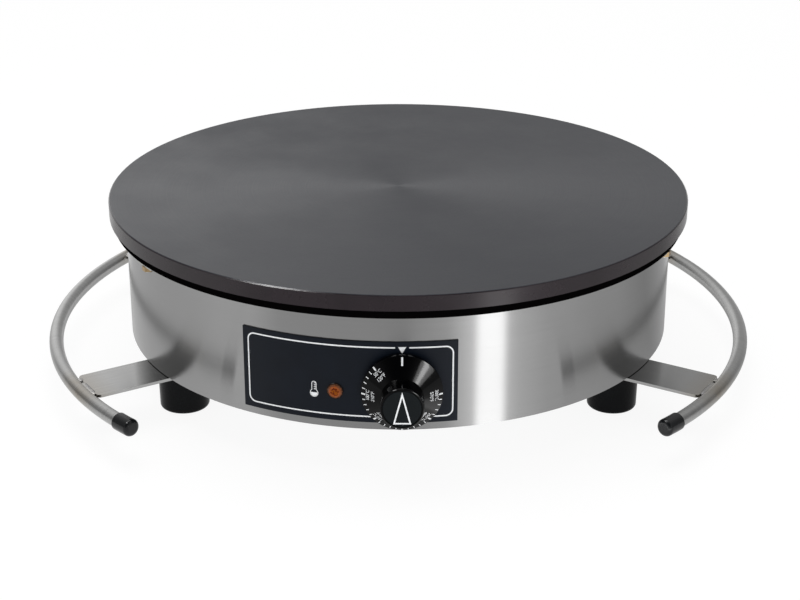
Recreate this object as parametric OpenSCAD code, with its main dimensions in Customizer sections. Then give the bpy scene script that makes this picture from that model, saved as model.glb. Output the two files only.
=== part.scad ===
// Round electric crepe maker: a cast griddle plate on a drum housing, with two
// bar handles, a thermostat knob, a pilot lamp and four levelling feet.
// +Z is up, the front faces -Y, and the origin is on the floor below the centre.
// An azimuth is counted from the front, positive towards +X.

/* [Griddle plate] */
// Diameter of the cooking surface
plate_d = 400; // [360:1:440]
// Thickness of the plate at its rim
plate_t = 16.3; // [15:0.1:20]
// Thickness of the plate above the heating elements
web_t = 11; // [10:0.1:13]
// Height of the machined band round the rim
band_h = 10.4; // [8:0.1:12]
// How far the cast edge below the band stands back at its foot
cast_step = 3; // [2:0.1:4]
// Width of the flat ring under the plate, outside the heating recess
seat_w = 20; // [16:0.5:26]
// How much wider the heating recess is at its mouth, on the radius
recess_draft = 3; // [1:0.5:4]
// How far the machined rim overhangs the housing
overhang = 11; // [10:0.1:13]
// Break on the plate's top edge
plate_edge = 0.8; // [0.4:0.1:1.2]

/* [Housing] */
// Height of the drum-shaped shell
shell_h = 76.9; // [72:0.1:95]
// Thickness of the shell's sheet
shell_t = 1; // [0.8:0.1:1.5]
// Gap between the shell's lower edge and the handle strips
shell_gap = 0.5; // [0.2:0.1:1]
// Thickness of the base plate
base_t = 1.2; // [1:0.1:2]
// Diameter of the vent holes in the base plate
vent_d = 6; // [4:0.5:8]
// Radius of the inner circle of vent holes
vent_r = 70; // [60:1:80]
// Vent holes in each circle
vent_count = 12; // [8:1:16]
// Distance between the two circles of vent holes
vent_step = 18; // [14:1:24]
// Width of the tabs that the base plate is screwed to
tab_w = 16; // [12:1:20]
// How far a tab reaches inwards from the shell
tab_reach = 16; // [14:1:20]
// Height of a tab
tab_h = 15; // [10:1:20]
// Thickness of a tab's sheet
tab_t = 1.5; // [1:0.1:2]

/* [Plate lugs] */
// Azimuth of each lug that holds the plate on the housing
lug_az = [-57, 66, 182]; // [-75:0.5:190]
// Width of a lug
lug_w = 20; // [16:1:26]
// Thickness of a lug's sheet
lug_t = 2; // [1.5:0.1:2.5]
// How far a lug reaches down inside the shell
lug_drop = 20; // [14:1:26]
// Depth of a lug's stud in the plate
lug_stud_depth = 9; // [7:0.5:11]
// Gap between a lug's nut and the housing
lug_nut_gap = 0.4; // [0.2:0.1:1]

/* [Handles] */
// Diameter of the handle tube
tube_d = 9.7; // [9:0.1:12]
// Wall of the handle tube
tube_wall = 1; // [0.8:0.1:1.5]
// Radius of the handle's bend, to the tube's centre
handle_r = 249.7; // [240:0.1:270]
// Clear space between the housing and the middle of a handle
handle_gap = 47.9; // [40:0.1:60]
// Length of a handle beyond the middle of a strip, along its bend
handle_past = 66.2; // [50:0.1:75]
// Width of a handle strip
strip_w = 35; // [28:0.5:40]
// Thickness of a handle strip
strip_t = 2; // [1.5:0.1:3]
// Rounding of a strip's corners at its tube
strip_corner = 3.5; // [1:0.5:6]
// Angle between a handle strip and the side-to-side axis
strip_angle = 31.5; // [28:0.5:35]
// Height of the tube's centre below the upper face of the strips
tube_drop = 4; // [3:0.1:4.5]
// How far a strip runs inwards past the centre of its foot
strip_tail = 20; // [18:0.5:28]
// Length of an end cap
cap_len = 14.5; // [12:0.5:24]
// Wall of an end cap
cap_wall = 0.9; // [0.8:0.1:1.5]
// Thickness of an end cap's closed end
cap_end_t = 3; // [2.8:0.1:4]
// Rounding of an end cap's edge
cap_round = 2.6; // [1:0.1:2.8]

/* [Feet] */
// Diameter of a foot
foot_d = 34; // [28:0.5:40]
// Height of a foot when it is screwed right in
foot_h = 28.8; // [24:0.1:36]
// Distance from the outside of the housing to the centre of a foot
foot_inset = 19.5; // [17:0.5:30]
// How much narrower a foot is at the floor, on the diameter
foot_taper = 0.8; // [0:0.1:2]
// Rounding of a foot's lower edge
foot_round = 2.5; // [1:0.1:4]
// Diameter of a foot's stud
foot_stud_d = 8; // [6:0.1:10]
// Bevel of a foot's upper edge
foot_bevel = 1; // [0.5:0.1:2]
// How far the stud reaches into its foot
foot_stud_sunk = 18; // [14:0.5:20]
// Travel of a foot as it is screwed out to level the plate
foot_travel = 8; // [6:0.5:10]
// Height of the nut that a stud screws into
foot_nut_h = 8; // [6:0.1:10]
// Width across flats of that nut
foot_nut_af = 13; // [12:0.5:16]

/* [Control panel] */
// Height of the black fascia
fascia_h = 54.6; // [50:0.1:58]
// Thickness of the fascia
fascia_t = 0.8; // [0.5:0.1:1.2]
// Height of the fascia's lower edge above the housing's lower edge
fascia_lift = 5.6; // [4:0.1:8]
// Azimuth of the fascia's left end
fascia_left = -30.6; // [-34:0.1:-26]
// Azimuth of the fascia's right end
fascia_right = 11.2; // [11:0.1:20]
// Sideways place of the knob's axis
knob_x = 2.5; // [-3:0.5:4]
// Height of the knob's axis above the housing's lower edge
knob_lift = 29.2; // [28:0.1:33]
// Diameter of the knob's skirt
skirt_d = 50.4; // [46:0.1:54]
// Diameter of the knob's grip
grip_d = 27; // [22:0.1:28]
// Length of the knob along its axis
knob_len = 25; // [22:0.1:30]
// Thickness of the skirt at its rim
skirt_rim = 3; // [2:0.1:4]
// Depth of the skirt's cone
skirt_cone = 8; // [6:0.1:10]
// Distance from the housing to the back of the knob
knob_gap = 5; // [4:0.1:8]
// Solid material between the knob's bore and its face
knob_face = 5; // [4:0.5:8]
// Diameter of the disc let into the knob's face
knob_disc_d = 24; // [20:0.1:24.5]
// Thickness of that disc
knob_disc_t = 0.6; // [0.4:0.1:1]
// Azimuth of the pilot lamp
lamp_az = -11.8; // [-13:0.1:-11.5]
// Height of the pilot lamp above the housing's lower edge
lamp_lift = 25.8; // [20:0.1:30]
// Diameter of the pilot lamp's lens
lens_d = 10.8; // [9:0.1:12]
// How far the lens stands out of the fascia
lens_h = 2.4; // [1.5:0.1:3]
// Diameter of the pilot lamp's body
lamp_d = 8; // [7:0.1:8.5]
// Length of the pilot lamp's body behind the fascia
lamp_len = 24; // [20:0.5:26]
// Thickness of the lens's flange
lens_flange = 0.8; // [0.5:0.1:1.2]
// Width of the lens's flange
lens_ledge = 0.6; // [0.4:0.1:1]
// Height of the spring clip behind the shell
lamp_clip_h = 2.2; // [1.5:0.1:3]
// Width of the spring clip's ring
lamp_clip_w = 3; // [2:0.1:3.5]

/* [Thermostat] */
// Width of the thermostat's body
thermo_w = 44; // [38:0.5:46]
// Height of the thermostat's body
thermo_h = 30; // [26:0.5:32]
// Depth of the thermostat's body
thermo_d = 28; // [24:0.5:32]
// Distance from the shell to the thermostat's bracket
bracket_back = 14; // [13:0.1:18]
// Thickness of the bracket's sheet
bracket_t = 1.5; // [1.2:0.1:2]
// Width of the bracket
bracket_w = 50; // [46:0.5:54]
// Length of the bracket's foot
bracket_foot = 22; // [18:0.5:26]
// Diameter of the thermostat's threaded bush
bush_d = 10; // [9:0.1:11]
// Length of the bush in front of the bracket
bush_len = 8; // [6:0.1:9]
// Diameter of the thermostat's spindle
spindle_d = 6; // [5:0.1:7]
// How far the spindle reaches into the thermostat's body
spindle_sunk = 12; // [8:1:16]
// Width across flats of the thermostat's nut
thermo_nut_af = 14; // [13:0.5:16]
// Height of the thermostat's nut
thermo_nut_h = 3; // [2:0.5:4]
// How far the bracket rises above the knob's axis
bracket_over = 13; // [11:0.5:16]
// Distance between the bracket's two screws
bracket_screws = 32; // [26:1:36]
// Sideways distance from the knob's axis to a blade terminal
blade_x = 13; // [10:0.5:16]
// Distance up or down from the knob's axis to a blade terminal
blade_y = 9; // [7:0.5:11]
// Width, thickness and length of a blade terminal
blade = [6, 0.8, 7]; // [0.5:0.1:9]
// Length of the sensor rod under the plate
sensor_len = 60; // [50:1:66]
// Diameter of the sensor rod
sensor_d = 4.2; // [3:0.1:5]
// Distance from the inner heating element to the sensor rod
sensor_off = 20; // [16:0.5:24]
// Azimuth of the sensor rod
sensor_az = 60; // [56:1:64]
// Thickness of the sensor clip's sheet
clip_wall = 2; // [1.5:0.1:2.5]
// Width of the sensor clip, along the rod
clip_w = 12; // [10:0.5:16]
// Diameter of the capillary tube
capillary_d = 1.5; // [1:0.1:2]

/* [Heating] */
// Diameter of an element's sheath
sheath_d = 8; // [7:0.1:8.5]
// Radius of the outer heating element
ring_outer_r = 148; // [144:1:152]
// Distance between neighbouring heating elements
ring_pitch = 48; // [44:1:50]
// Half of the distance between the two legs of an element
leg_x = 9; // [8:0.5:11]
// Diameter of the ferrule that joins a ring to its leg
ferrule_d = 10.4; // [9.5:0.1:12]
// How far a ferrule reaches above the middle of its ring
ferrule_up = 3.4; // [3:0.1:3.8]
// How far the legs reach below the insulation tray
leg_out = 12; // [10:0.5:16]
// Thickness of the links between the legs
link_t = 1.5; // [1:0.1:2]
// Height of the links above the ends of the legs
link_lift = 3; // [2:0.5:5]
// Width of a link on either side of its legs
link_edge = 2.5; // [1.5:0.1:3]
// Depth of a clamp stud in the plate
clamp_depth = 7; // [5:0.5:8]
// Thickness of a clamp bar
bar_t = 3; // [2:0.1:4]
// Width of a clamp bar
bar_w = 18; // [14:0.5:22]
// Clear space between the clamp studs and the reflector
reflector_gap = 2; // [1:0.5:4]
// Thickness of the reflector's foil sheet
reflector_t = 0.5; // [0.3:0.1:0.8]
// Thickness of the insulation blanket
blanket_t = 12; // [8:0.5:14]
// Thickness of the tray's sheet
tray_t = 0.8; // [0.6:0.1:1.2]
// Air gap between the tray and the shell
tray_gap = 16; // [12:0.5:20]
// Distance from the centre to the tray's pillars
pillar_r = 120; // [112:1:130]
// Diameter of a tray pillar
pillar_d = 10; // [8:0.5:12]
// Gap round an element's leg where it passes the tray
leg_gap = 1; // [0.6:0.1:2]
// Diameter of the hole for the capillary tube through the tray
drop_hole = 10; // [6:0.5:12]

/* [Mains inlet] */
// Height of the cable gland above the housing's lower edge
gland_lift = 20; // [18:0.5:30]
// Diameter of the cable hole through the gland
gland_bore = 8; // [6:0.1:10]
// Diameter of the gland's thread
gland_thread = 16; // [14:0.5:18]
// Width across flats of the gland
gland_af = 22; // [20:0.5:24]
// Thickness of the gland's hexagon
gland_hex = 6; // [4:0.1:8]
// Length of the gland's cap nut outside its hexagon
gland_cap = 24; // [20:0.1:28]
// Length of the gland's thread inside its hexagon
gland_inner = 11; // [9:0.5:14]
// Height of the gland's lock nut
gland_nut_h = 5; // [4:0.5:6]
// Width of the terminal block
block_w = 46; // [40:1:50]
// Depth of the terminal block
block_d = 20; // [18:1:24]
// Height of the terminal block
block_h = 18; // [14:1:22]
// Distance from the outer element's legs to the middle of the terminal block
block_back = 30; // [26:1:34]
// Diameter of the wire holes through the terminal block
block_bore = 5; // [4:0.5:6]
// Diameter of the screw holes in the terminal block
block_screw_d = 4.5; // [4:0.5:5]
// Diameter of the thick leads
wire_d = 3; // [2.4:0.1:3.4]
// Diameter of the thin leads
thin_wire_d = 1.8; // [1.4:0.1:2.2]
// Gap between a lead and the base plate that it lies on
lead_gap = 0.8; // [0.6:0.1:1.5]
// Sideways place of the earth stud
earth_x = -52; // [-60:1:-46]

/* [Fasteners and fits] */
// Radial clearance of a shaft that turns or a foot's thread
running_fit = 0.05; // [0.02:0.01:0.1]
// Clearance between pieces that are fixed together
seat_gap = 0.1; // [0.05:0.01:0.2]
// Radial clearance of a screw or a stud in its hole
hole_fit = 0.3; // [0.2:0.05:0.5]
// Gap round the spindle where it passes the shell and the fascia
spindle_gap = 1; // [0.5:0.1:2]
// Gap at the blind end of a bore
end_gap = 1; // [0.5:0.1:2]
// Diameter of the small screws
screw_d = 4; // [3:0.1:5]
// Length of the small screws under the head
screw_len = 8; // [7:0.1:10]
// Diameter of a small screw's head
screw_head_d = 7.6; // [6:0.1:9]
// Height of a small screw's head
screw_head_h = 2.2; // [1.5:0.1:3]
// Diameter of the studs in the plate lugs and of the earth stud
stud_d = 4; // [3:0.1:5]
// Width across flats of the brass nuts
brass_af = 7; // [6.5:0.1:8]
// Height of the brass nuts
brass_h = 3.2; // [2.4:0.1:4]
// Diameter of the studs that hold the clamp bars
clamp_stud_d = 6; // [5:0.1:7]
// Width across flats of the clamp nuts
clamp_af = 10; // [9:0.1:12]
// Height of the clamp nuts
clamp_nut_h = 5; // [4:0.1:6]
// How far a stud stands out of its nut
stud_proud = 1; // [0.5:0.1:2]

/* [Hidden] */

// Fineness of small and of large round shapes
$fn = 64;
large_fn = 240;
// How far a cut runs past the faces that it opens, and past a curved wall
cut = 1;
wall_cut = 3;
// Overlap of the shapes that are joined into one solid
hook = 0.01;

// Each corner has a name, a side (-1 is left) and an end (-1 is front)
CORNERS = [
    ["front_left", -1, -1], ["front_right", 1, -1],
    ["rear_left", -1, 1], ["rear_right", 1, 1]
];
SIDES = [["left", -1], ["right", 1]];
RING_NAMES = ["outer", "middle", "inner"];

// Heights, from the floor up
strip_z = foot_h;
shell_z = strip_z + strip_t;
base_top = shell_z + base_t;
shell_top = shell_z + shell_h;
plate_z = shell_top + lug_t;
plate_top = plate_z + plate_t;
web_z = plate_top - web_t;
sheath_z = web_z - seat_gap - sheath_d / 2;
bar_top = sheath_z - sheath_d / 2 - seat_gap;
clamp_nut_top = bar_top - bar_t;
reflector_top = clamp_nut_top - clamp_nut_h - stud_proud - reflector_gap;
blanket_z = reflector_top - reflector_t - blanket_t;
tray_z = blanket_z - tray_t;
tube_z = shell_z - tube_drop;
leg_end_z = tray_z - leg_out;

// Radii; the heating elements' are listed from the outside in
ring_r = [for (k = [0 : 2]) ring_outer_r - k * ring_pitch];
plate_r = plate_d / 2;
shell_r = plate_r - overhang;
shell_in = shell_r - shell_t;
recess_r = plate_r - cast_step - seat_w;
foot_r = shell_r - foot_inset;
base_r = shell_in - 2 * seat_gap;
tray_r = shell_in - tray_gap;
lug_stud_r = shell_r + lug_nut_gap + brass_af / 2;
lug_out_r = lug_stud_r + brass_af / 2 - lug_nut_gap;

// Handles: the bend's centre lies this far beyond the housing's own centre
tube_r = tube_d / 2;
bend_x = shell_r + handle_gap + tube_r - handle_r;
cap_r = tube_r + seat_gap + cap_wall;
cap_angle = cap_len / handle_r * 180 / PI;
// The point where a strip meets the bend, and the angle there about the bend's centre
strip_reach = to_bend(handle_r);
strip_turn = atan2(strip_reach * sin(strip_angle), strip_reach * cos(strip_angle) - bend_x);
handle_half = strip_turn + handle_past / handle_r * 180 / PI;
cap_end_angle = cap_end_t / handle_r * 180 / PI;

// Panel
knob_z = shell_z + knob_lift;
knob_back = shell_r + knob_gap;
lamp_z = shell_z + lamp_lift;
fascia_z = shell_z + fascia_lift;
fascia_r = shell_r + seat_gap / 2;
lamp_out_r = fascia_r + fascia_t;
bracket_y = shell_in - bracket_back;
thermo_y = bracket_y - bracket_t;
bore_depth = knob_len - knob_face;
spindle_tip = knob_back + bore_depth - end_gap;
// Distance from a shaft's axis to its flat
spindle_flat = spindle_d / 4;

// Sensor rod
sensor_r = ring_r[2] + sensor_off;
sensor_z = web_z - seat_gap - sensor_d / 2;

// Inlet; the lock nut's corners touch the curved shell first
gland_z = shell_z + gland_lift;
gland_seat = shell_r + seat_gap / 2;
gland_nut_seat = sqrt(pow(shell_in, 2) - pow(gland_af / cos(30) / 2, 2)) - seat_gap;
block_y = ring_r[0] - block_back;
earth_y = block_y - block_d / 2;

// ------------------------------------------------------------ helpers

// Turns the children so that their +X points along an azimuth
module at_az(az) {
    rotate([0, 0, az - 90]) children();
}

// The azimuth of the strip and the foot at a corner
function corner_az(c) = c[2] < 0 ? c[1] * (90 - strip_angle) : c[1] * (90 + strip_angle);

// Turns the children's +Z to point forwards, from the axis of the knob
module on_knob_axis() {
    translate([knob_x, 0, knob_z]) rotate([90, 0, 0]) children();
}

// Turns the children's +Z to point outwards, from the axis of the pilot lamp
module on_lamp_axis() {
    at_az(lamp_az) translate([0, 0, lamp_z]) rotate([0, 90, 0]) children();
}

// Turns the children's +Z to point backwards, from the axis of the cable gland
module on_gland_axis() {
    translate([0, 0, gland_z]) rotate([-90, 0, 0]) children();
}

// A cut through the shell and the fascia, along an axis that points outwards
module wall_hole(r) {
    translate([0, 0, shell_in - wall_cut]) cylinder(r = r, h = shell_t + fascia_t + 2 * wall_cut);
}

// A hexagon by its width across flats
module hexagon(af, h) {
    cylinder(d = af / cos(30), h = h, $fn = 6);
}

// A hexagon nut with a plain bore
module hex_nut(af, h, bore_r) {
    difference() {
        hexagon(af, h);
        translate([0, 0, -cut]) cylinder(r = bore_r, h = h + 2 * cut);
    }
}

// A part of a ring about the vertical axis, centred on azimuth 0 of at_az
module arc_band(r_in, r_out, z, h, width_angle) {
    rotate([0, 0, -width_angle / 2])
        rotate_extrude(angle = width_angle, $fn = large_fn)
            translate([r_in, z]) square([r_out - r_in, h]);
}

// The angle that a width takes up at a radius
function arc_angle(width, r) = width / r * 180 / PI;

// Hand-chosen points joined by a smooth curve
function spline(p0, p1, p2, p3, t) =
    0.5 * (2 * p1 + (p2 - p0) * t + (2 * p0 - 5 * p1 + 4 * p2 - p3) * t * t
    + (3 * p1 - p0 - 3 * p2 + p3) * t * t * t);
function smooth(p, steps) = let (n = len(p)) [
    for (i = [0 : n - 2]) for (s = [0 : steps - 1])
        spline(p[max(i - 1, 0)], p[i], p[i + 1], p[min(i + 2, n - 1)], s / steps),
    p[n - 1]
];
function unit(v) = v / norm(v);
function heading(p, i) = unit(p[min(i + 1, len(p) - 1)] - p[max(i - 1, 0)]);

// A round tube along points; side is any direction that the path never takes
module tube_along(route, d, side, steps = 5, sides = 8) {
    p = smooth(route, steps);
    n = len(p);
    rings = [for (i = [0 : n - 1])
        let (t = heading(p, i), u = unit(cross(t, side)), w = cross(t, u))
            for (k = [0 : sides - 1])
                p[i] + d / 2 * (cos(360 * k / sides) * u + sin(360 * k / sides) * w)];
    walls = [for (i = [0 : n - 2]) for (k = [0 : sides - 1])
        let (a = i * sides + k, b = i * sides + (k + 1) % sides)
            each [[a, b + sides, b], [a, a + sides, b + sides]]];
    ends = [[for (k = [0 : sides - 1]) k],
        [for (k = [sides - 1 : -1 : 0]) (n - 1) * sides + k]];
    polyhedron(rings, concat(walls, ends));
}

// ------------------------------------------------------------ griddle plate

clamp_az = [0, 120, 240];
clamp_r = [(ring_r[0] + ring_r[1]) / 2, (ring_r[1] + ring_r[2]) / 2];

// Puts the children at every clamp stud
module each_clamp_stud() {
    for (az = clamp_az) for (r = clamp_r) at_az(az) translate([r, 0, 0]) children();
}

module griddle_plate() {
    color([0.27, 0.26, 0.27]) difference() {
        rotate_extrude($fn = large_fn) polygon([
            [0, plate_top],
            [plate_r - plate_edge, plate_top],
            [plate_r, plate_top - plate_edge],
            [plate_r, plate_top - band_h],
            [plate_r - cast_step / 2, plate_top - band_h - cast_step / 2],
            [plate_r - cast_step, plate_z],
            [recess_r, plate_z],
            [recess_r - recess_draft, web_z],
            [0, web_z]
        ]);
        for (az = lug_az) at_az(az) translate([lug_stud_r, 0, plate_z - cut])
            cylinder(r = stud_d / 2 + seat_gap, h = lug_stud_depth + cut);
        each_clamp_stud() translate([0, 0, web_z - cut])
            cylinder(r = clamp_stud_d / 2 + seat_gap, h = clamp_depth + cut);
        at_az(sensor_az) translate([sensor_r + sensor_screw_x, 0, web_z - cut])
            cylinder(r = screw_d / 2 + seat_gap, h = sensor_hole + cut);
    }
}

// Studs that screw up into the plate and hang through the lugs
lug_stud_end = shell_top - brass_h - stud_proud;
module plate_studs() {
    color("silver") for (az = lug_az) at_az(az)
        translate([lug_stud_r, 0, lug_stud_end])
            cylinder(d = stud_d, h = plate_z + lug_stud_depth - seat_gap - lug_stud_end);
}

// Angle pieces that sit on the shell's top edge and carry the plate
module plate_lugs() {
    lug_in_r = shell_in - seat_gap - lug_t;
    lug_angle = arc_angle(lug_w, shell_r);
    color("silver") for (az = lug_az) at_az(az) difference() {
        union() {
            arc_band(lug_in_r, lug_out_r, shell_top, lug_t, lug_angle);
            arc_band(lug_in_r, lug_in_r + lug_t, shell_top - lug_drop, lug_drop + lug_t, lug_angle);
        }
        translate([lug_stud_r, 0, shell_top - cut])
            cylinder(r = stud_d / 2 + seat_gap, h = lug_t + 2 * cut);
    }
}

// Brass nuts: one under each lug, and two on the earth stud
module brass_nuts() {
    color([0.78, 0.62, 0.36]) {
        for (az = lug_az) at_az(az) translate([lug_stud_r, 0, shell_top - brass_h])
            rotate([0, 0, 30]) hex_nut(brass_af, brass_h, stud_d / 2 + seat_gap);
        for (k = [0, 1]) translate([earth_x, earth_y, base_top + k * (brass_h + lug_t)])
            hex_nut(brass_af, brass_h, stud_d / 2 + seat_gap);
    }
}

// ------------------------------------------------------------ housing

module housing_shell() {
    color([0.72, 0.72, 0.73]) difference() {
        translate([0, 0, shell_z + shell_gap])
            cylinder(r = shell_r, h = shell_h - shell_gap, $fn = large_fn);
        translate([0, 0, shell_z - cut])
            cylinder(r = shell_in, h = shell_h + 2 * cut, $fn = large_fn);
        on_knob_axis() wall_hole(spindle_d / 2 + spindle_gap);
        on_lamp_axis() wall_hole(lamp_d / 2 + seat_gap);
        on_gland_axis() wall_hole(gland_thread / 2 + hole_fit);
    }
}

tab_az = [30, 90, 150, 210, 270, 330];
tab_out_r = shell_in - seat_gap;
tab_screw_r = tab_out_r - (tab_reach + tab_t) / 2;
pillar_az = [30, 150, 270];
bracket_screw_y = bracket_y - (bracket_foot + bracket_t) / 2;

// Puts the children at every screw that comes up through the base plate
module each_base_screw() {
    for (az = tab_az) at_az(az) translate([tab_screw_r, 0, 0]) children();
    for (az = pillar_az) at_az(az) translate([pillar_r, 0, 0]) children();
    each_bracket_screw() children();
}

// Puts the children at the two screws of the thermostat's bracket
module each_bracket_screw() {
    for (s = [-1, 1])
        translate([knob_x + s * bracket_screws / 2, -bracket_screw_y, 0]) children();
}

module base_plate() {
    color([0.7, 0.7, 0.71]) difference() {
        translate([0, 0, shell_z]) cylinder(r = base_r, h = base_t, $fn = large_fn);
        translate([0, 0, shell_z - cut]) {
            each_base_screw() cylinder(r = screw_d / 2 + hole_fit, h = base_t + 2 * cut);
            for (c = CORNERS) at_az(corner_az(c)) translate([foot_r, 0, 0])
                cylinder(r = foot_stud_d / 2 + hole_fit, h = base_t + 2 * cut);
            for (ring = [0, 1]) for (k = [0 : vent_count - 1])
                rotate([0, 0, 360 / vent_count * (k + ring / 2)])
                    translate([vent_r + ring * vent_step, 0, 0])
                        cylinder(d = vent_d, h = base_t + 2 * cut);
            translate([earth_x, earth_y, 0])
                cylinder(r = stud_d / 2 + seat_gap, h = base_t + 2 * cut);
        }
    }
}

// Angle tabs welded inside the shell; the base plate is screwed to them
module base_tabs() {
    tab_angle = arc_angle(tab_w, tab_out_r);
    color("silver") for (az = tab_az) at_az(az) difference() {
        union() {
            arc_band(tab_out_r - tab_reach, tab_out_r, base_top, tab_t, tab_angle);
            arc_band(tab_out_r - tab_t, tab_out_r, base_top, tab_h, tab_angle);
        }
        translate([tab_screw_r, 0, base_top - cut])
            cylinder(r = screw_d / 2 + seat_gap, h = tab_t + 2 * cut);
    }
}

// A small screw with a hexagon socket: its shank points up from the origin
module m4_screw() {
    crown = 0.8;
    socket_af = screw_d * 5 / 8;
    socket_floor = screw_head_h * 2 / 5;
    cylinder(d = screw_d, h = screw_len);
    mirror([0, 0, 1]) difference() {
        cylinder(d1 = screw_head_d, d2 = screw_head_d * crown, h = screw_head_h);
        translate([0, 0, socket_floor]) hexagon(socket_af, screw_head_h);
    }
}

module m4_screws() {
    color("silver") {
        translate([0, 0, shell_z]) each_base_screw() m4_screw();
        for (az = pillar_az) at_az(az) translate([pillar_r, 0, blanket_z])
            mirror([0, 0, 1]) m4_screw();
        at_az(sensor_az) translate([sensor_r + sensor_screw_x, 0, clip_z - clip_wall])
            m4_screw();
    }
}

// ------------------------------------------------------------ handles

// The distance along a strip from the housing's centre to a circle about the handle's
// bend, at a place across the strip
function to_bend(r, across = 0) =
    bend_x * cos(strip_angle) + sqrt(r * r - pow(bend_x * sin(strip_angle) + across, 2));

// Half of the tube's width at the height of the strips' lower face
tube_chord = sqrt(tube_r * tube_r - pow(tube_drop - strip_t, 2));

// What a rounded corner leaves out of a square one
module corner_waste(r, h) {
    difference() {
        cube([2 * r, 2 * r, h]);
        translate([0, 0, -cut]) cylinder(r = r, h = h + 2 * cut);
    }
}

module handle_strip(c) {
    inner = foot_r - strip_tail;
    end_r = handle_r - tube_chord;
    // The rounding starts a little beyond the strip's curved end and meets it at an angle
    corner_out = 0.2;
    color([0.72, 0.72, 0.73]) intersection() {
        at_az(corner_az(c)) difference() {
            translate([inner, -strip_w / 2, strip_z])
                cube([strip_reach - inner, strip_w, strip_t]);
            translate([foot_r, 0, strip_z - cut])
                cylinder(r = foot_stud_d / 2 + hole_fit, h = strip_t + 2 * cut);
            for (s = [-1, 1]) {
                y = s * (strip_w / 2 - strip_corner);
                x = to_bend(end_r, c[1] * c[2] * y) - strip_corner + corner_out;
                translate([x, y, strip_z - cut]) mirror([0, s < 0 ? 1 : 0, 0])
                    corner_waste(strip_corner, strip_t + 2 * cut);
            }
        }
        translate([c[1] * bend_x, 0, strip_z - cut])
            cylinder(r = end_r, h = strip_t + 2 * cut, $fn = large_fn);
    }
}

// Half of the angle that the bare tube spans
tube_half = handle_half - cap_end_angle;

module handle_tube(side) {
    color([0.72, 0.72, 0.73]) translate([side * bend_x, 0, tube_z])
        rotate([0, 0, (side < 0 ? 180 : 0) - tube_half])
            rotate_extrude(angle = 2 * tube_half, $fn = large_fn)
                translate([handle_r, 0]) difference() {
                    circle(r = tube_r);
                    circle(r = tube_r - tube_wall);
                }
}

// A soft cap over the end of a tube: a curved sleeve and a rounded end
module end_cap(c) {
    sleeve_angle = cap_angle - cap_end_angle;
    color([0.07, 0.07, 0.08]) translate([c[1] * bend_x, 0, tube_z])
        mirror([c[1] < 0 ? 1 : 0, 0, 0]) mirror([0, c[2] > 0 ? 1 : 0, 0])
            rotate([0, 0, -tube_half]) {
                rotate_extrude(angle = sleeve_angle, $fn = large_fn)
                    translate([handle_r, 0]) difference() {
                        circle(r = cap_r);
                        circle(r = tube_r + seat_gap);
                    }
                translate([handle_r, 0, 0]) rotate([90, 0, 0]) rotate_extrude() polygon([
                    [0, 0], [cap_r, 0],
                    for (a = [0 : 15 : 90])
                        [cap_r, cap_end_t] + cap_round * [cos(a) - 1, sin(a) - 1],
                    [0, cap_end_t]
                ]);
            }
}

// ------------------------------------------------------------ feet

module foot(c) {
    low_r = (foot_d - foot_taper) / 2;
    color([0.06, 0.06, 0.07]) at_az(corner_az(c)) translate([foot_r, 0, 0]) difference() {
        rotate_extrude() union() {
            polygon([
                [0, 0], [low_r - foot_round, 0], [low_r - foot_round, foot_round],
                [low_r, foot_round], [foot_d / 2, foot_h - foot_bevel],
                [foot_d / 2 - foot_bevel, foot_h],
                [0, foot_h]
            ]);
            translate([low_r - foot_round, foot_round]) intersection() {
                circle(r = foot_round);
                translate([0, -foot_round]) square(foot_round);
            }
        }
        translate([0, 0, foot_h - foot_stud_sunk])
            cylinder(r = foot_stud_d / 2 + seat_gap, h = foot_stud_sunk + cut);
    }
}

module foot_stud(c) {
    above = strip_t + base_t + foot_nut_h + foot_travel;
    color("silver") at_az(corner_az(c)) translate([foot_r, 0, foot_h - foot_stud_sunk + seat_gap])
        cylinder(d = foot_stud_d, h = foot_stud_sunk - seat_gap + above);
}

module foot_nuts() {
    color("silver") for (c = CORNERS) at_az(corner_az(c)) translate([foot_r, 0, base_top])
        hex_nut(foot_nut_af, foot_nut_h, foot_stud_d / 2 + running_fit);
}

// ------------------------------------------------------------ control panel

module fascia_panel() {
    color([0.1, 0.11, 0.13]) difference() {
        at_az(fascia_left) rotate_extrude(angle = fascia_right - fascia_left, $fn = large_fn)
            translate([fascia_r, fascia_z]) square([fascia_t, fascia_h]);
        on_knob_axis() wall_hole(spindle_d / 2 + spindle_gap);
        on_lamp_axis() wall_hole(lamp_d / 2 + seat_gap);
    }
}

// The knob's outline: x is the radius and y the distance from its back
module knob_profile() {
    skirt_r = skirt_d / 2;
    grip_r = grip_d / 2;
    back_hollow = 2;
    lip_in = skirt_r - 3;
    lip_out = skirt_r - 1.5;
    bevel = 0.6;
    cone_r = skirt_r - 0.8;
    grip_edge = 1.2;
    polygon([
        [0, back_hollow], [lip_in, back_hollow], [lip_out, 0], [skirt_r, bevel],
        [skirt_r, skirt_rim - bevel], [cone_r, skirt_rim],
        [grip_r, skirt_rim + skirt_cone],
        for (a = [0 : 15 : 90]) [grip_r, knob_len] + grip_edge * [cos(a) - 1, sin(a) - 1],
        [0, knob_len]
    ]);
}

module knob() {
    color([0.05, 0.05, 0.06]) on_knob_axis() translate([0, 0, knob_back]) difference() {
        rotate_extrude($fn = 96) knob_profile();
        difference() {
            translate([0, 0, -cut])
                cylinder(r = spindle_d / 2 + seat_gap, h = bore_depth + cut);
            translate([-spindle_d, spindle_flat + seat_gap, -2 * cut])
                cube([2 * spindle_d, spindle_d, bore_depth + 3 * cut]);
        }
        translate([0, 0, knob_len - knob_disc_t])
            cylinder(d = knob_disc_d, h = knob_disc_t + cut);
    }
}

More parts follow.
